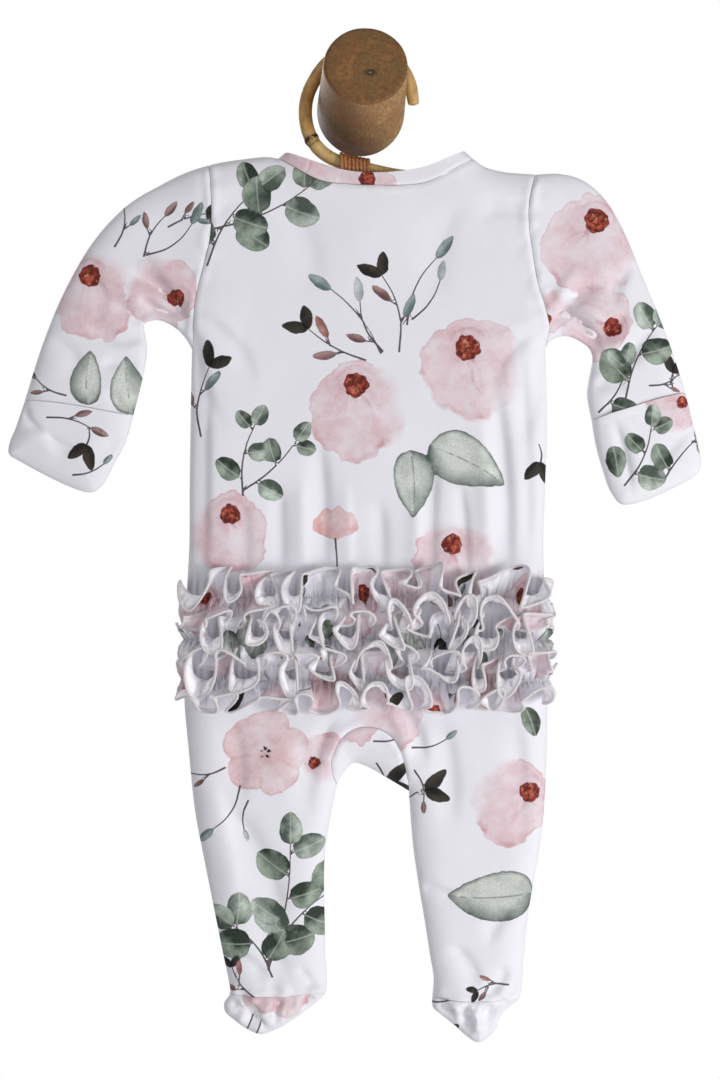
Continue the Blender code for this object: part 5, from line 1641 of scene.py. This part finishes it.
def cloth(name, halves, grid):
    place, faces, inner, flat = shell(name, halves, grid)
    piece = build("cloth_" + name, place, faces, [PRINTED, PLAIN], inner)
    if name == "back":
        # painted shade on the back under the ruffles
        floats(piece.data, "painted_shade_and_stitch", painted_shade_under_ruffles(flat))
    store(piece.data, print_for(name, flat, halves[0][2]))
    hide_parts(name)
    return piece


for name, (runs, side, grid) in REGIONS.items():
    loop, seams = region(*runs.split())
    cloth(name, [(loop, seams, side)], grid)
for name, (pair, grid) in RINGS.items():
    cloth(name, [(*region(*runs.split()), side) for runs, side in zip(pair, (BACK, FRONT))], grid)


# ---------------------------------------------------------------- ruffles
def ruffle(name, height, up, down, flutes, start, fullness, print_at):
    """A strip gathered along its middle, which is sewn to the back. Each half stands out and winds up and down in flutes,
    so that its edge makes loops, and the two halves lie one inside the other's bends."""
    rng = np.random.default_rng(int(start * 10))
    columns = 860
    a = np.linspace(0, 1, columns + 1)
    left, right = EDGES["side_left"], EDGES["side_right"]
    ends = (np.interp(-height, -left[:, 1], left[:, 0]), np.interp(height, right[:, 1], right[:, 0]))
    x = np.linspace(ends[0] + 0.8, ends[1] - 0.8, 1200)
    base, _, _ = form(np.stack([x, np.full_like(x, height)], 1), BACK)
    girth = np.r_[0, np.cumsum(np.linalg.norm(np.diff(base, axis=0), axis=1))]
    along_x = np.interp(a * girth[-1], girth, x)
    base, normal, _ = form(np.stack([along_x, np.full_like(a, height)], 1), BACK)
    along = np.gradient(base, axis=0)
    along /= np.linalg.norm(along, axis=1)[:, None]
    base = base + normal * 1.3
    lift = np.array((0.0, 0.0, 1.0))

    def wander(amount, *turns):
        return sum(
            amount * rng.uniform(0.5, 1.0) * np.sin(2 * math.pi * k * a + rng.uniform(0, 6.3)) for k in turns
        )

    phase = 2 * math.pi * flutes * a + start + wander(0.85, 2.3, 3.7, 5.9)
    at_ends = step_up(np.minimum(a, 1 - a), 0, 0.045)
    halves = []
    rows = 20
    v = np.linspace(0, 1, rows + 1)[:, None]
    for sign, length in ((1, up), (-1, down)):
        corner = np.clip(1 - np.minimum(a, 1 - a) / 0.020, 0, 1)
        size = length * (1.0 + wander(0.06, 3.1, 5.3, 9.7)) * (0.60 + 0.40 * at_ends) * (0.40 + 0.60 * np.sqrt(1 - corner**2))
        bend = phase + wander(0.20, 2.1, 4.7) + (0.0 if sign > 0 else 0.35)
        swing = np.cos(bend) + 0.28 * np.sin(1.9 * bend + wander(0.8, 2.2, 5.1))
        strong = np.clip(1.0 + wander(0.18, 2.6, 4.3, 6.9, 10.7), 0.55, 1.3) * (0.6 + 0.4 * at_ends)
        # how far the strip leans up or down from straight out, more and more towards its free edge
        if sign > 0:
            lean = 0.64 + wander(0.14, 1.7, 3.9) + 1.34 * strong * swing * v**0.6
        else:
            lean = 0.84 + wander(0.14, 2.2, 4.9) - 1.00 * strong * swing * v**0.6
        lean = 1.75 * np.tanh(lean / 1.75) * at_ends + 1.05 * (1 - at_ends)
        mid, step = 0.5 * (lean[1:] + lean[:-1]), size / rows
        z = np.vstack([np.zeros(columns + 1), np.cumsum(np.sin(mid) * step, axis=0)])
        n = np.vstack([np.zeros(columns + 1), np.cumsum(np.cos(mid) * step, axis=0)])
        # necks and bulbs of the loops, strongest at the free edge
        loop = (4.6 + wander(1.3, 2.9, 5.7)) * np.sin(2 * bend + 0.4 * sign + wander(0.5, 3.3, 7.1))
        sway = (loop + 1.8 * np.sin(bend + 1.1 + wander(0.6, 1.9, 4.1))) * v**1.5 * at_ends
        # gathers die out away from the stitching, and soft dents cross the flutes
        pleat = np.sin(phase * 5.3 + 1.9 * np.sin(phase * 1.7) + 0.9 * v) + 0.5 * np.sin(phase * 9.1 + 2.3 * np.sin(phase * 2.9))
        pleat = 1.15 * pleat * np.exp(-v * size / 9.0) * step_up(v, 0, 0.10)
        cells = np.stack([np.broadcast_to(a * girth[-1] * fullness, z.shape).ravel(), (v * size).ravel()], 1)
        dent = (1.5 * noise(cells, 8.5, 31 + int(start * 3)) + 0.8 * noise(cells, 4.2, 33)).reshape(z.shape) * step_up(v, 0.02, 0.4)
        flare = 0.9 * np.sin(3.0 * bend + wander(1.0, 3.7, 6.1)) * v**2 * at_ends
        place = (
            base[None]
            + lift * (sign * z + 0.5 * dent + 0.5 * pleat + flare)[..., None]
            + normal[None] * np.maximum(n + pleat + dent, 0.12 * v)[..., None]
            + along[None] * (sway + 0.5 * dent)[..., None]
        )
        # jersey won't take a sharp bend: the shape is evened out along the strip
        for _ in range(7):
            place[:, 1:-1] = 0.25 * place[:, :-2] + 0.5 * place[:, 1:-1] + 0.25 * place[:, 2:]
        # painted shade darkens the gathers' hollows, the pleats' valleys and the dents, and a darker line of stitches
        # runs beside the rolled edge
        painted_shade_and_stitch = 0.42 * (1 - v) ** 2.2 + 0.38 * np.clip(-pleat / 1.2, 0, 1) * np.ones_like(v) + 0.28 * np.clip(-dent / 1.3, 0, 1)
        painted_shade_and_stitch = painted_shade_and_stitch + 0.30 * np.exp(-((((1 - v) * size - 1.9) / 0.6) ** 2))
        halves.append((place, v[:, 0], size, np.clip(painted_shade_and_stitch, 0, 0.85)))
    (top, v_top, size_top, painted_shade_and_stitch_top), (low, v_low, size_low, painted_shade_and_stitch_low) = halves
    grid = np.concatenate([low[::-1], top[1:]])  # from the lower edge to the upper one
    across = np.concatenate([-(v_low[::-1, None] * size_low), (v_top[1:, None] * size_top)])
    d_along, d_up = np.gradient(grid, axis=1), np.gradient(grid, axis=0)
    facing = np.cross(d_along, d_up)
    facing /= np.maximum(np.linalg.norm(facing, axis=2), 1e-9)[..., None]
    thick = 0.42
    r, c = grid.shape[:2]
    place = np.vstack([(grid + facing * thick).reshape(-1, 3), (grid - facing * thick).reshape(-1, 3)])
    count = r * c
    i, j = np.meshgrid(np.arange(r - 1), np.arange(c - 1), indexing="ij")
    p = (i * c + j).ravel()
    outer = np.stack([p, p + 1, p + c + 1, p + c], 1)
    inner = outer[:, ::-1] + count

    def border(k, flip):
        quad = np.stack([k[:-1], k[1:], k[1:] + count, k[:-1] + count], 1)
        return quad[:, ::-1] if flip else quad

    rims = [
        border(np.arange(c), True),
        border((r - 1) * c + np.arange(c), False),
        border(np.arange(r) * c, False),
        border(np.arange(r) * c + c - 1, True),
    ]
    faces = np.vstack([outer, inner] + rims)
    index = np.concatenate([np.zeros(len(outer), int), np.ones(len(inner), int), np.zeros(sum(map(len, rims)), int)])
    # rolled edges, a thin round hem on both free edges
    sides = 8
    for row, sign in ((0, -1), (r - 1, 1)):
        line = grid[row]
        t = np.gradient(line, axis=0)
        t /= np.linalg.norm(t, axis=1)[:, None]
        out = np.cross(t, facing[row]) * sign
        radius = 0.92 * (1 + 0.10 * np.sin(np.arange(c) * 1.9))
        turn = 2 * math.pi * np.arange(sides) / sides
        ring = (
            line[:, None]
            + out[:, None] * (0.35 + radius[:, None, None] * np.cos(turn)[None, :, None])
            + facing[row][:, None] * radius[:, None, None] * np.sin(turn)[None, :, None]
        ).reshape(-1, 3)
        start_at = len(place)
        k, s = np.meshgrid(np.arange(c - 1), np.arange(sides), indexing="ij")
        k, s = k.ravel(), s.ravel()
        q = start_at + k * sides
        quads = np.stack([q + s, q + (s + 1) % sides, q + sides + (s + 1) % sides, q + sides + s], 1)
        caps = [
            np.array([start_at + m for m in order])[None]
            for order in ((3, 2, 1, 0), (5, 4, 3, 0), (7, 6, 5, 0))
        ] + [
            np.array([start_at + (c - 1) * sides + m for m in order])[None]
            for order in ((0, 1, 2, 3), (0, 3, 4, 5), (0, 5, 6, 7))
        ]
        quads = np.vstack([quads] + caps)
        if sign > 0:
            quads = quads[:, ::-1]
        place = np.vstack([place, ring])
        faces = np.vstack([faces, quads])
        index = np.concatenate([index, np.full(len(quads), 2)])
    piece = build("cloth_" + name, place, faces, [THIN_PRINTED, THIN_PLAIN, EDGE_THREAD], index, sharp=0)
    strip = (a - 0.5) * girth[-1] * fullness
    flat = np.stack([np.broadcast_to(strip, (r, c)).ravel(), (print_at + across).ravel()], 1)
    flat = np.vstack([flat, flat, np.zeros((len(place) - 2 * count, 2))])
    painted_shade_and_stitch = np.concatenate([painted_shade_and_stitch_low[::-1], painted_shade_and_stitch_top[1:]]).ravel()
    floats(piece.data, "painted_shade_and_stitch", np.r_[painted_shade_and_stitch, painted_shade_and_stitch, np.zeros(len(place) - 2 * count)])
    piece.data.attributes.new("gather", "FLOAT_VECTOR", "POINT").data.foreach_set(
        "vector", np.column_stack([flat[:, 0], flat[:, 1] - print_at, np.zeros(len(flat))]).astype(np.float32).ravel()
    )
    canvas = Canvas(flat)
    paint(canvas, PRINT_BACK, wrap=(236.0, 0.0))
    store(piece.data, canvas)
    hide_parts(name)


for row in RIBBONS:
    ruffle(**row)


# ---------------------------------------------------------------- placket and snaps
def zip_ends():
    top, arch = EDGES["front_seam_left"][-1], EDGES["arch_left"][-1]
    return float(top[1]) - 2.0, float(arch[1]) + 3.0


ZIP_TOP, ZIP_BOTTOM = zip_ends()


def placket():
    """The strip that covers the front opening, with a turned edge and two rows of stitching pressed into it."""
    u = np.linspace(-PLACKET_WIDTH / 2, PLACKET_WIDTH / 2, 15)
    z = np.linspace(ZIP_BOTTOM, ZIP_TOP, 220)
    gx, gz = np.meshgrid(PLACKET_X + u, z)
    flat = np.stack([gx.ravel(), gz.ravel()], 1)
    points, normals, far = form(flat, FRONT)
    sink = relief(flat, far, "front_left")
    side = np.abs(flat[:, 0] - PLACKET_X)
    puff = 0.35 * np.cos(np.clip(side / (PLACKET_WIDTH / 2), 0, 1) * math.pi / 2) ** 0.5
    stitch = -0.35 * np.exp(-(((side - 5.6) / 0.5) ** 2)) * (1 + 0.4 * np.sin(flat[:, 1] * 2.4))
    high = sink + SEAM + CLOTH * 0.75 + puff + stitch
    low = sink + SEAM
    place = np.vstack([points + normals * high[:, None], points + normals * low[:, None]])
    r, c = gx.shape
    count = r * c
    i, j = np.meshgrid(np.arange(r - 1), np.arange(c - 1), indexing="ij")
    p = (i * c + j).ravel()
    outer = np.stack([p, p + c, p + c + 1, p + 1], 1)
    inner = outer[:, ::-1] + count
    rims = []
    for k, flip in (
        (np.arange(c), False),
        ((r - 1) * c + np.arange(c), True),
        (np.arange(r) * c, True),
        (np.arange(r) * c + c - 1, False),
    ):
        quad = np.stack([k[:-1], k[1:], k[1:] + count, k[:-1] + count], 1)
        rims.append(quad[:, ::-1] if flip else quad)
    faces = np.vstack([outer, inner] + rims)
    piece = build("cloth_placket", place, faces, [PRINTED])
    canvas = Canvas(np.vstack([flat, flat]) + (60.0, -40.0))
    paint(canvas, PRINT_BACK)
    store(piece.data, canvas)
    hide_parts("placket")


placket()


def lathe(name, profile, centre, sides, materials):
    """A turned shape facing +Y. The profile is (radius, height) from its back to its middle."""
    turn = 2 * math.pi * np.arange(sides) / sides
    place = [
        (centre[0] + r * math.cos(t), centre[1] + h, centre[2] + r * math.sin(t)) for r, h in profile for t in turn
    ]
    faces = []
    for k in range(len(profile) - 1):
        for s in range(sides):
            a, b = k * sides + s, k * sides + (s + 1) % sides
            faces.append((a, a + sides, b + sides, b))
    place += [(centre[0], centre[1] + profile[0][1], centre[2]), (centre[0], centre[1] + profile[-1][1], centre[2])]
    quads = np.array(faces)
    piece = bpy.data.meshes.new(name)
    last = (len(profile) - 1) * sides
    caps = [(len(place) - 2, s, (s + 1) % sides) for s in range(sides)]
    caps += [(len(place) - 1, last + (s + 1) % sides, last + s) for s in range(sides)]
    piece.from_pydata([tuple(0.001 * v for v in p) for p in place], [], [tuple(f) for f in quads.tolist()] + caps)
    piece.update()
    piece.shade_smooth()
    piece.set_sharp_from_angle(angle=math.radians(40))
    for material in materials:
        piece.materials.append(material)
    item = bpy.data.objects.new(name, piece)
    bpy.context.scene.collection.objects.link(item)
    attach(item, "root")
    return item


for k in range(SNAPS):
    z = ZIP_TOP - 9 - (ZIP_TOP - ZIP_BOTTOM - 18) * k / (SNAPS - 1)
    at, _, far = form([(PLACKET_X, z)], FRONT)
    sink = float(relief(np.array([(PLACKET_X, z)]), far, "front_left")[0])
    r, h = SNAP_RADIUS, SNAP_HIGH
    profile = (
        (r * 0.90, 0.0),
        (r, h * 0.25),
        (r, h * 0.55),
        (r * 0.93, h * 0.86),
        (r * 0.80, h),
        (r * 0.70, h * 0.96),
        (r * 0.62, h * 0.70),
        (r * 0.50, h * 0.62),
        (r * 0.25, h * 0.66),
    )
    snap = lathe(f"cap_{k + 1}", profile, at[0] + np.array([0, SEAM * 2 + CLOTH + max(sink, -0.5), 0]), 40, [PEARL])
    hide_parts(f"snap_{k + 1}")


# ---------------------------------------------------------------- hanger and peg
def from_peg(point):
    axis = np.array(PEG_FACE) / np.linalg.norm(PEG_FACE)
    away = point - axis * (point @ axis)
    size = np.linalg.norm(away)
    return size, away / size


def rod(name, centres, radii, sides, materials, tone, ring):
    """A round rod along the centres, with rounded ends."""
    centres = np.asarray(centres, float)
    along = np.gradient(centres, axis=0)
    along /= np.linalg.norm(along, axis=1)[:, None]
    side = np.cross(along, [0, 1, 0])
    side /= np.linalg.norm(side, axis=1)[:, None]
    third = np.cross(side, along)
    n = len(centres)
    turn = np.arange(sides) * 2 * math.pi / sides
    place = (
        centres[:, None]
        + radii[:, None, None] * (np.cos(turn)[None, :, None] * side[:, None] + np.sin(turn)[None, :, None] * third[:, None])
    ).reshape(-1, 3)
    k, s = np.meshgrid(np.arange(n - 1), np.arange(sides), indexing="ij")
    k, s = k.ravel(), s.ravel()
    faces = np.stack(
        [k * sides + s, k * sides + (s + 1) % sides, (k + 1) * sides + (s + 1) % sides, (k + 1) * sides + s], 1
    )
    place = np.vstack([place, centres[:1], centres[-1:]])
    caps = []
    for s in range(0, sides, 2):
        caps.append((n * sides, (s + 2) % sides, s + 1, s))
        caps.append((n * sides + 1, (n - 1) * sides + s, (n - 1) * sides + s + 1, (n - 1) * sides + (s + 2) % sides))
    faces = np.vstack([faces, np.array(caps)])
    corners = place[faces[:, :3]]
    if np.linalg.det(corners - centres.mean(0)).sum() < 0:
        faces = faces[:, ::-1]
    piece = build(name, place, faces, materials, sharp=40)
    floats(piece.data, "tone", np.r_[np.repeat(tone, sides), tone[0], tone[-1]])
    floats(piece.data, "ring", np.r_[np.repeat(ring, sides), ring[0], ring[-1]])
    return piece


hook = smooth([(r["x"], r["y"], r["z"], r["thick"]) for r in HOOK], 6.0)
for row in hook:
    size, away = from_peg(row[:3])
    least = 28.0 + row[3] / 2 + 0.4
    if size < least:
        row[:3] += away * (least - size)
hook = smooth([tuple(row) for row in hook], 0.8)
hook_along = np.r_[0, np.cumsum(np.linalg.norm(np.diff(hook[:, :3], axis=0), axis=1))]
node_at = hook_along[int(np.argmin(np.linalg.norm(hook[:, [0, 2]] - (-31.0, -19.5), axis=1)))]
from_node = hook_along - node_at
bulge = 0.45 * np.exp(-((from_node / 1.6) ** 2)) - 0.25 * np.exp(-(((from_node - 3.4) / 1.2) ** 2))
ends = np.minimum(hook_along, hook_along[-1] - hook_along)
rounded = np.sqrt(np.clip(1 - (1 - np.clip(ends / 1.6, 0, 1)) ** 2, 0.05, 1))
radii = (hook[:, 3] / 2 * 0.985 + bulge) * rounded
tone = np.clip(
    0.65 * step_up(from_node, 1.5, 9.0) + 0.25 * step_up(-from_node, 70, 110) + 0.15 * np.sin(hook_along / 9.0), 0, 1
)
ring = 1.5 * np.exp(-((from_node / 1.5) ** 2)) + 0.5 * np.exp(-(((from_node - 3.6) / 1.4) ** 2))
piece = rod("cane_hook", hook[:, :3], radii, 28, [CANE], tone, ring)
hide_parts("hanger_hook")

bar = smooth([(r["x"], MID_Y, r["z"]) for r in BAR], 1.2)
bar_along = np.arange(len(bar)) * 1.2
ends = np.minimum(bar_along, bar_along[-1] - bar_along)
rounded = np.sqrt(np.clip(1 - (1 - np.clip(ends / 1.6, 0, 1)) ** 2, 0.05, 1))
wave = 0.97 + 0.02 * np.sin(bar_along / 17.0)
piece = rod("cane_bar", bar, BAR_THICK / 2 * wave * rounded, 24, [CANE_BAR], 0.4 + 0.2 * np.sin(bar_along / 23.0), np.zeros(len(bar)))
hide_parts("hanger_bar")


def binding():
    """Split cane wound round the hook's end and the bar, one flat strand in close turns."""
    low = hook[:, 2] < -25
    per_turn, sides = 40, 10
    steps = WRAPS * per_turn + 1
    t = np.linspace(0, WRAPS, steps)
    x = WRAP_FROM + 1.2 + (WRAP_TO - WRAP_FROM - 2.4) * t / WRAPS
    z_hook = np.interp(x, hook[low, 0], hook[low, 2])
    y_hook = np.interp(x, hook[low, 0], hook[low, 1])
    z_bar = np.interp(x, bar[:, 0], bar[:, 2])
    half = (z_hook - z_bar) / 2
    radius = BAR_THICK / 2 * 1.14 + SEAM + 0.72
    # once round a racetrack: two straights of the rods' distance and two half circles
    share = (t % 1.0) * (2 * math.pi + 2 * 2 * half / radius)
    straight = 2 * half / radius
    y, z = np.zeros(steps), np.zeros(steps)
    for k in range(steps):
        s, g, h = share[k], straight[k], half[k]
        if s < math.pi:
            y[k], z[k] = radius * math.cos(s), h + radius * math.sin(s)
        elif s < math.pi + g:
            y[k], z[k] = -radius, h - (s - math.pi) * radius
        elif s < 2 * math.pi + g:
            q = s - g
            y[k], z[k] = radius * math.cos(q), -h + radius * math.sin(q)
        else:
            y[k], z[k] = radius, -h + (s - 2 * math.pi - g) * radius
    line = np.stack([x, (y_hook + MID_Y) / 2 + y, (z_hook + z_bar) / 2 + z], 1)
    along = np.gradient(line, axis=0)
    along /= np.linalg.norm(along, axis=1)[:, None]
    wide = np.array((1.0, 0.0, 0.0)) - along * along[:, :1]
    wide /= np.linalg.norm(wide, axis=1)[:, None]
    out = np.cross(along, wide)
    turn = 2 * math.pi * np.arange(sides) / sides
    w, h = 1.28, 0.66
    place = (
        line[:, None]
        + wide[:, None] * w * (np.sign(np.cos(turn)) * np.abs(np.cos(turn)) ** 0.7)[None, :, None]
        + out[:, None] * h * np.sin(turn)[None, :, None]
    ).reshape(-1, 3)
    k, s = np.meshgrid(np.arange(steps - 1), np.arange(sides), indexing="ij")
    k, s = k.ravel(), s.ravel()
    faces = np.stack(
        [k * sides + s, k * sides + (s + 1) % sides, (k + 1) * sides + (s + 1) % sides, (k + 1) * sides + s], 1
    )
    place = np.vstack([place, line[:1], line[-1:]])
    caps = []
    for s in range(0, sides, 2):
        caps.append((steps * sides, (s + 2) % sides, s + 1, s))
        caps.append((steps * sides + 1, (steps - 1) * sides + s, (steps - 1) * sides + s + 1, (steps - 1) * sides + (s + 2) % sides))
    piece = build("cane_binding", place, np.vstack([faces, np.array(caps)]), [CORD_MAT], sharp=60)
    edge = np.clip(np.abs(np.cos(turn)) * 1.6 - 0.75, 0, 1)
    floats(piece.data, "tone", np.r_[np.tile(edge, steps), 0, 0])
    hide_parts("hook_binding")


binding()


def peg():
    """The turned peg, cut flat at the wall, with a worn rim and a slightly hollowed end."""
    axis = np.array(PEG_FACE) / np.linalg.norm(PEG_FACE)
    across = np.cross(axis, [0, 0, 1])
    across /= np.linalg.norm(across)
    third = np.cross(across, axis)
    sides = 120
    along = np.r_[np.linspace(0, 62, 26), 63.5, 64.8, 65.8, 66.5, 66.95, 67.15]
    radius = np.interp(along, [row["along"] for row in PEG], [row["radius"] for row in PEG])
    edge = np.clip((along - 63.0) / 4.2, 0, 1)
    radius = np.where(along > 63, 26.05 - 1.5 * (1 - np.sqrt(np.clip(1 - edge**2, 0, 1))) - 0.9 * edge**4, radius)
    inner = np.array([0.985, 0.93, 0.82, 0.66, 0.48, 0.30, 0.14])
    turn = 2 * math.pi * np.arange(sides) / sides
    rings = [(s, r, False) for s, r in zip(along, radius)] + [
        (67.2 - 0.25 * (1 - f) ** 0.5, radius[-1] * f, True) for f in inner
    ]
    place, kinds = [], []
    for s, r, end in rings:
        uneven = 1 + 0.004 * np.sin(3 * turn + 0.6) + 0.003 * np.sin(5 * turn + 1.9) + (0.0015 * np.sin(9 * turn + s / 7.0))
        out = (r * uneven)[:, None] * (np.cos(turn)[:, None] * across + np.sin(turn)[:, None] * third)
        # the wall cuts the tilted peg flat, and the rings near it turn level with the cut by degrees
        ring = axis * s + out - axis * (out[:, 1:2] / axis[1]) * max(0.0, 1 - s / 14.0)
        place.append(ring)
        kinds.append(end)
    place = np.vstack(place + [np.zeros((1, 3)), (axis * 66.9)[None]])
    place[:, 1] = np.minimum(place[:, 1], 0.0)
    n = len(rings)
    k, s = np.meshgrid(np.arange(n - 1), np.arange(sides), indexing="ij")
    k, s = k.ravel(), s.ravel()
    quads = np.stack(
        [k * sides + s, k * sides + (s + 1) % sides, (k + 1) * sides + (s + 1) % sides, (k + 1) * sides + s], 1
    )
    index = (k >= len(along) - 4).astype(int)
    caps, cap_index = [], []
    for s in range(0, sides, 2):
        caps.append((n * sides, (s + 2) % sides, s + 1, s))
        cap_index.append(0)
        caps.append((n * sides + 1, (n - 1) * sides + s, (n - 1) * sides + s + 1, (n - 1) * sides + (s + 2) % sides))
        cap_index.append(1)
    faces = np.vstack([quads, np.array(caps)])
    if np.linalg.det(place[faces[:, :3]] - place.mean(0)).sum() < 0:
        faces = faces[:, ::-1]
    piece = build("peg", place, faces, [PEG_SIDE, PEG_END], np.r_[index, cap_index], sharp=60)
    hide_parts("wall_peg")


peg()


# ---------------------------------------------------------------- stage, light and camera
def stage():
    g = Graph("floor")
    tone = g.noise(g.place(), 6.0)
    pale = g.mix(tone, (0.80, 0.80, 0.80), (0.84, 0.84, 0.84))
    g.finish(pale, 0.7, g.bump(tone, 0.02, 0.002))
    g.put(pale, g.shader.inputs["Emission Color"])
    g.put(g.math("MULTIPLY", g.node("ShaderNodeLightPath").outputs["Is Camera Ray"], 0.60), g.shader.inputs["Emission Strength"])
    mesh = bpy.data.meshes.new("floor")
    size, z = 3.0, -1.35
    mesh.from_pydata([(-size, -size, z), (size, -size, z), (size, size, z), (-size, size, z)], [], [(0, 1, 2, 3)])
    mesh.materials.append(g.material)
    floor = bpy.data.objects.new("floor", mesh)
    bpy.context.scene.collection.objects.link(floor)
    world = bpy.data.worlds.new("studio")
    bpy.context.scene.world = world
    world.use_nodes = True
    nodes, links = world.node_tree.nodes, world.node_tree.links
    nodes.clear()
    out = nodes.new("ShaderNodeOutputWorld")
    seen, light = nodes.new("ShaderNodeBackground"), nodes.new("ShaderNodeBackground")
    seen.inputs["Color"].default_value, seen.inputs["Strength"].default_value = (1, 1, 1, 1), 1.0
    light.inputs["Color"].default_value, light.inputs["Strength"].default_value = (0.98, 0.985, 1.0, 1), 0.335
    both, path = nodes.new("ShaderNodeMixShader"), nodes.new("ShaderNodeLightPath")
    links.new(path.outputs["Is Camera Ray"], both.inputs[0])
    links.new(light.outputs[0], both.inputs[1])
    links.new(seen.outputs[0], both.inputs[2])
    links.new(both.outputs[0], out.inputs[0])
    bpy.context.scene.view_settings.view_transform = "Standard"
    for name, place, size, power, colour in (
        ("key", (1.5, -1.25, -0.50), 0.6, 19.5, (1.0, 0.99, 0.98)),
        ("fill", (0.3, -1.8, -1.15), 0.9, 6.5, (0.98, 0.98, 1.0)),
        ("top", (-0.25, -1.1, 0.85), 0.7, 2.5, (1.0, 1.0, 1.0)),
        ("rear", (-0.9, 1.4, 0.4), 1.2, 17.0, (1.0, 1.0, 1.0)),
    ):
        data = bpy.data.lights.new(name, "AREA")
        data.size, data.energy, data.color = size, power, colour
        lamp = bpy.data.objects.new(name, data)
        lamp.location = place
        lamp.rotation_mode = "QUATERNION"
        lamp.rotation_quaternion = (Vector((0.0, 0.0, -0.33)) - Vector(place)).to_track_quat("-Z", "Y")
        bpy.context.scene.collection.objects.link(lamp)


stage()
camera_data = bpy.data.cameras.new("camera")
camera_data.lens, camera_data.sensor_width = 84.7, 36.0
camera = bpy.data.objects.new("camera", camera_data)
camera.location = (-0.0006, -1.615, -0.2726)
camera.rotation_euler = (math.pi / 2, 0, 0)
bpy.context.scene.collection.objects.link(camera)
bpy.context.scene.camera = camera
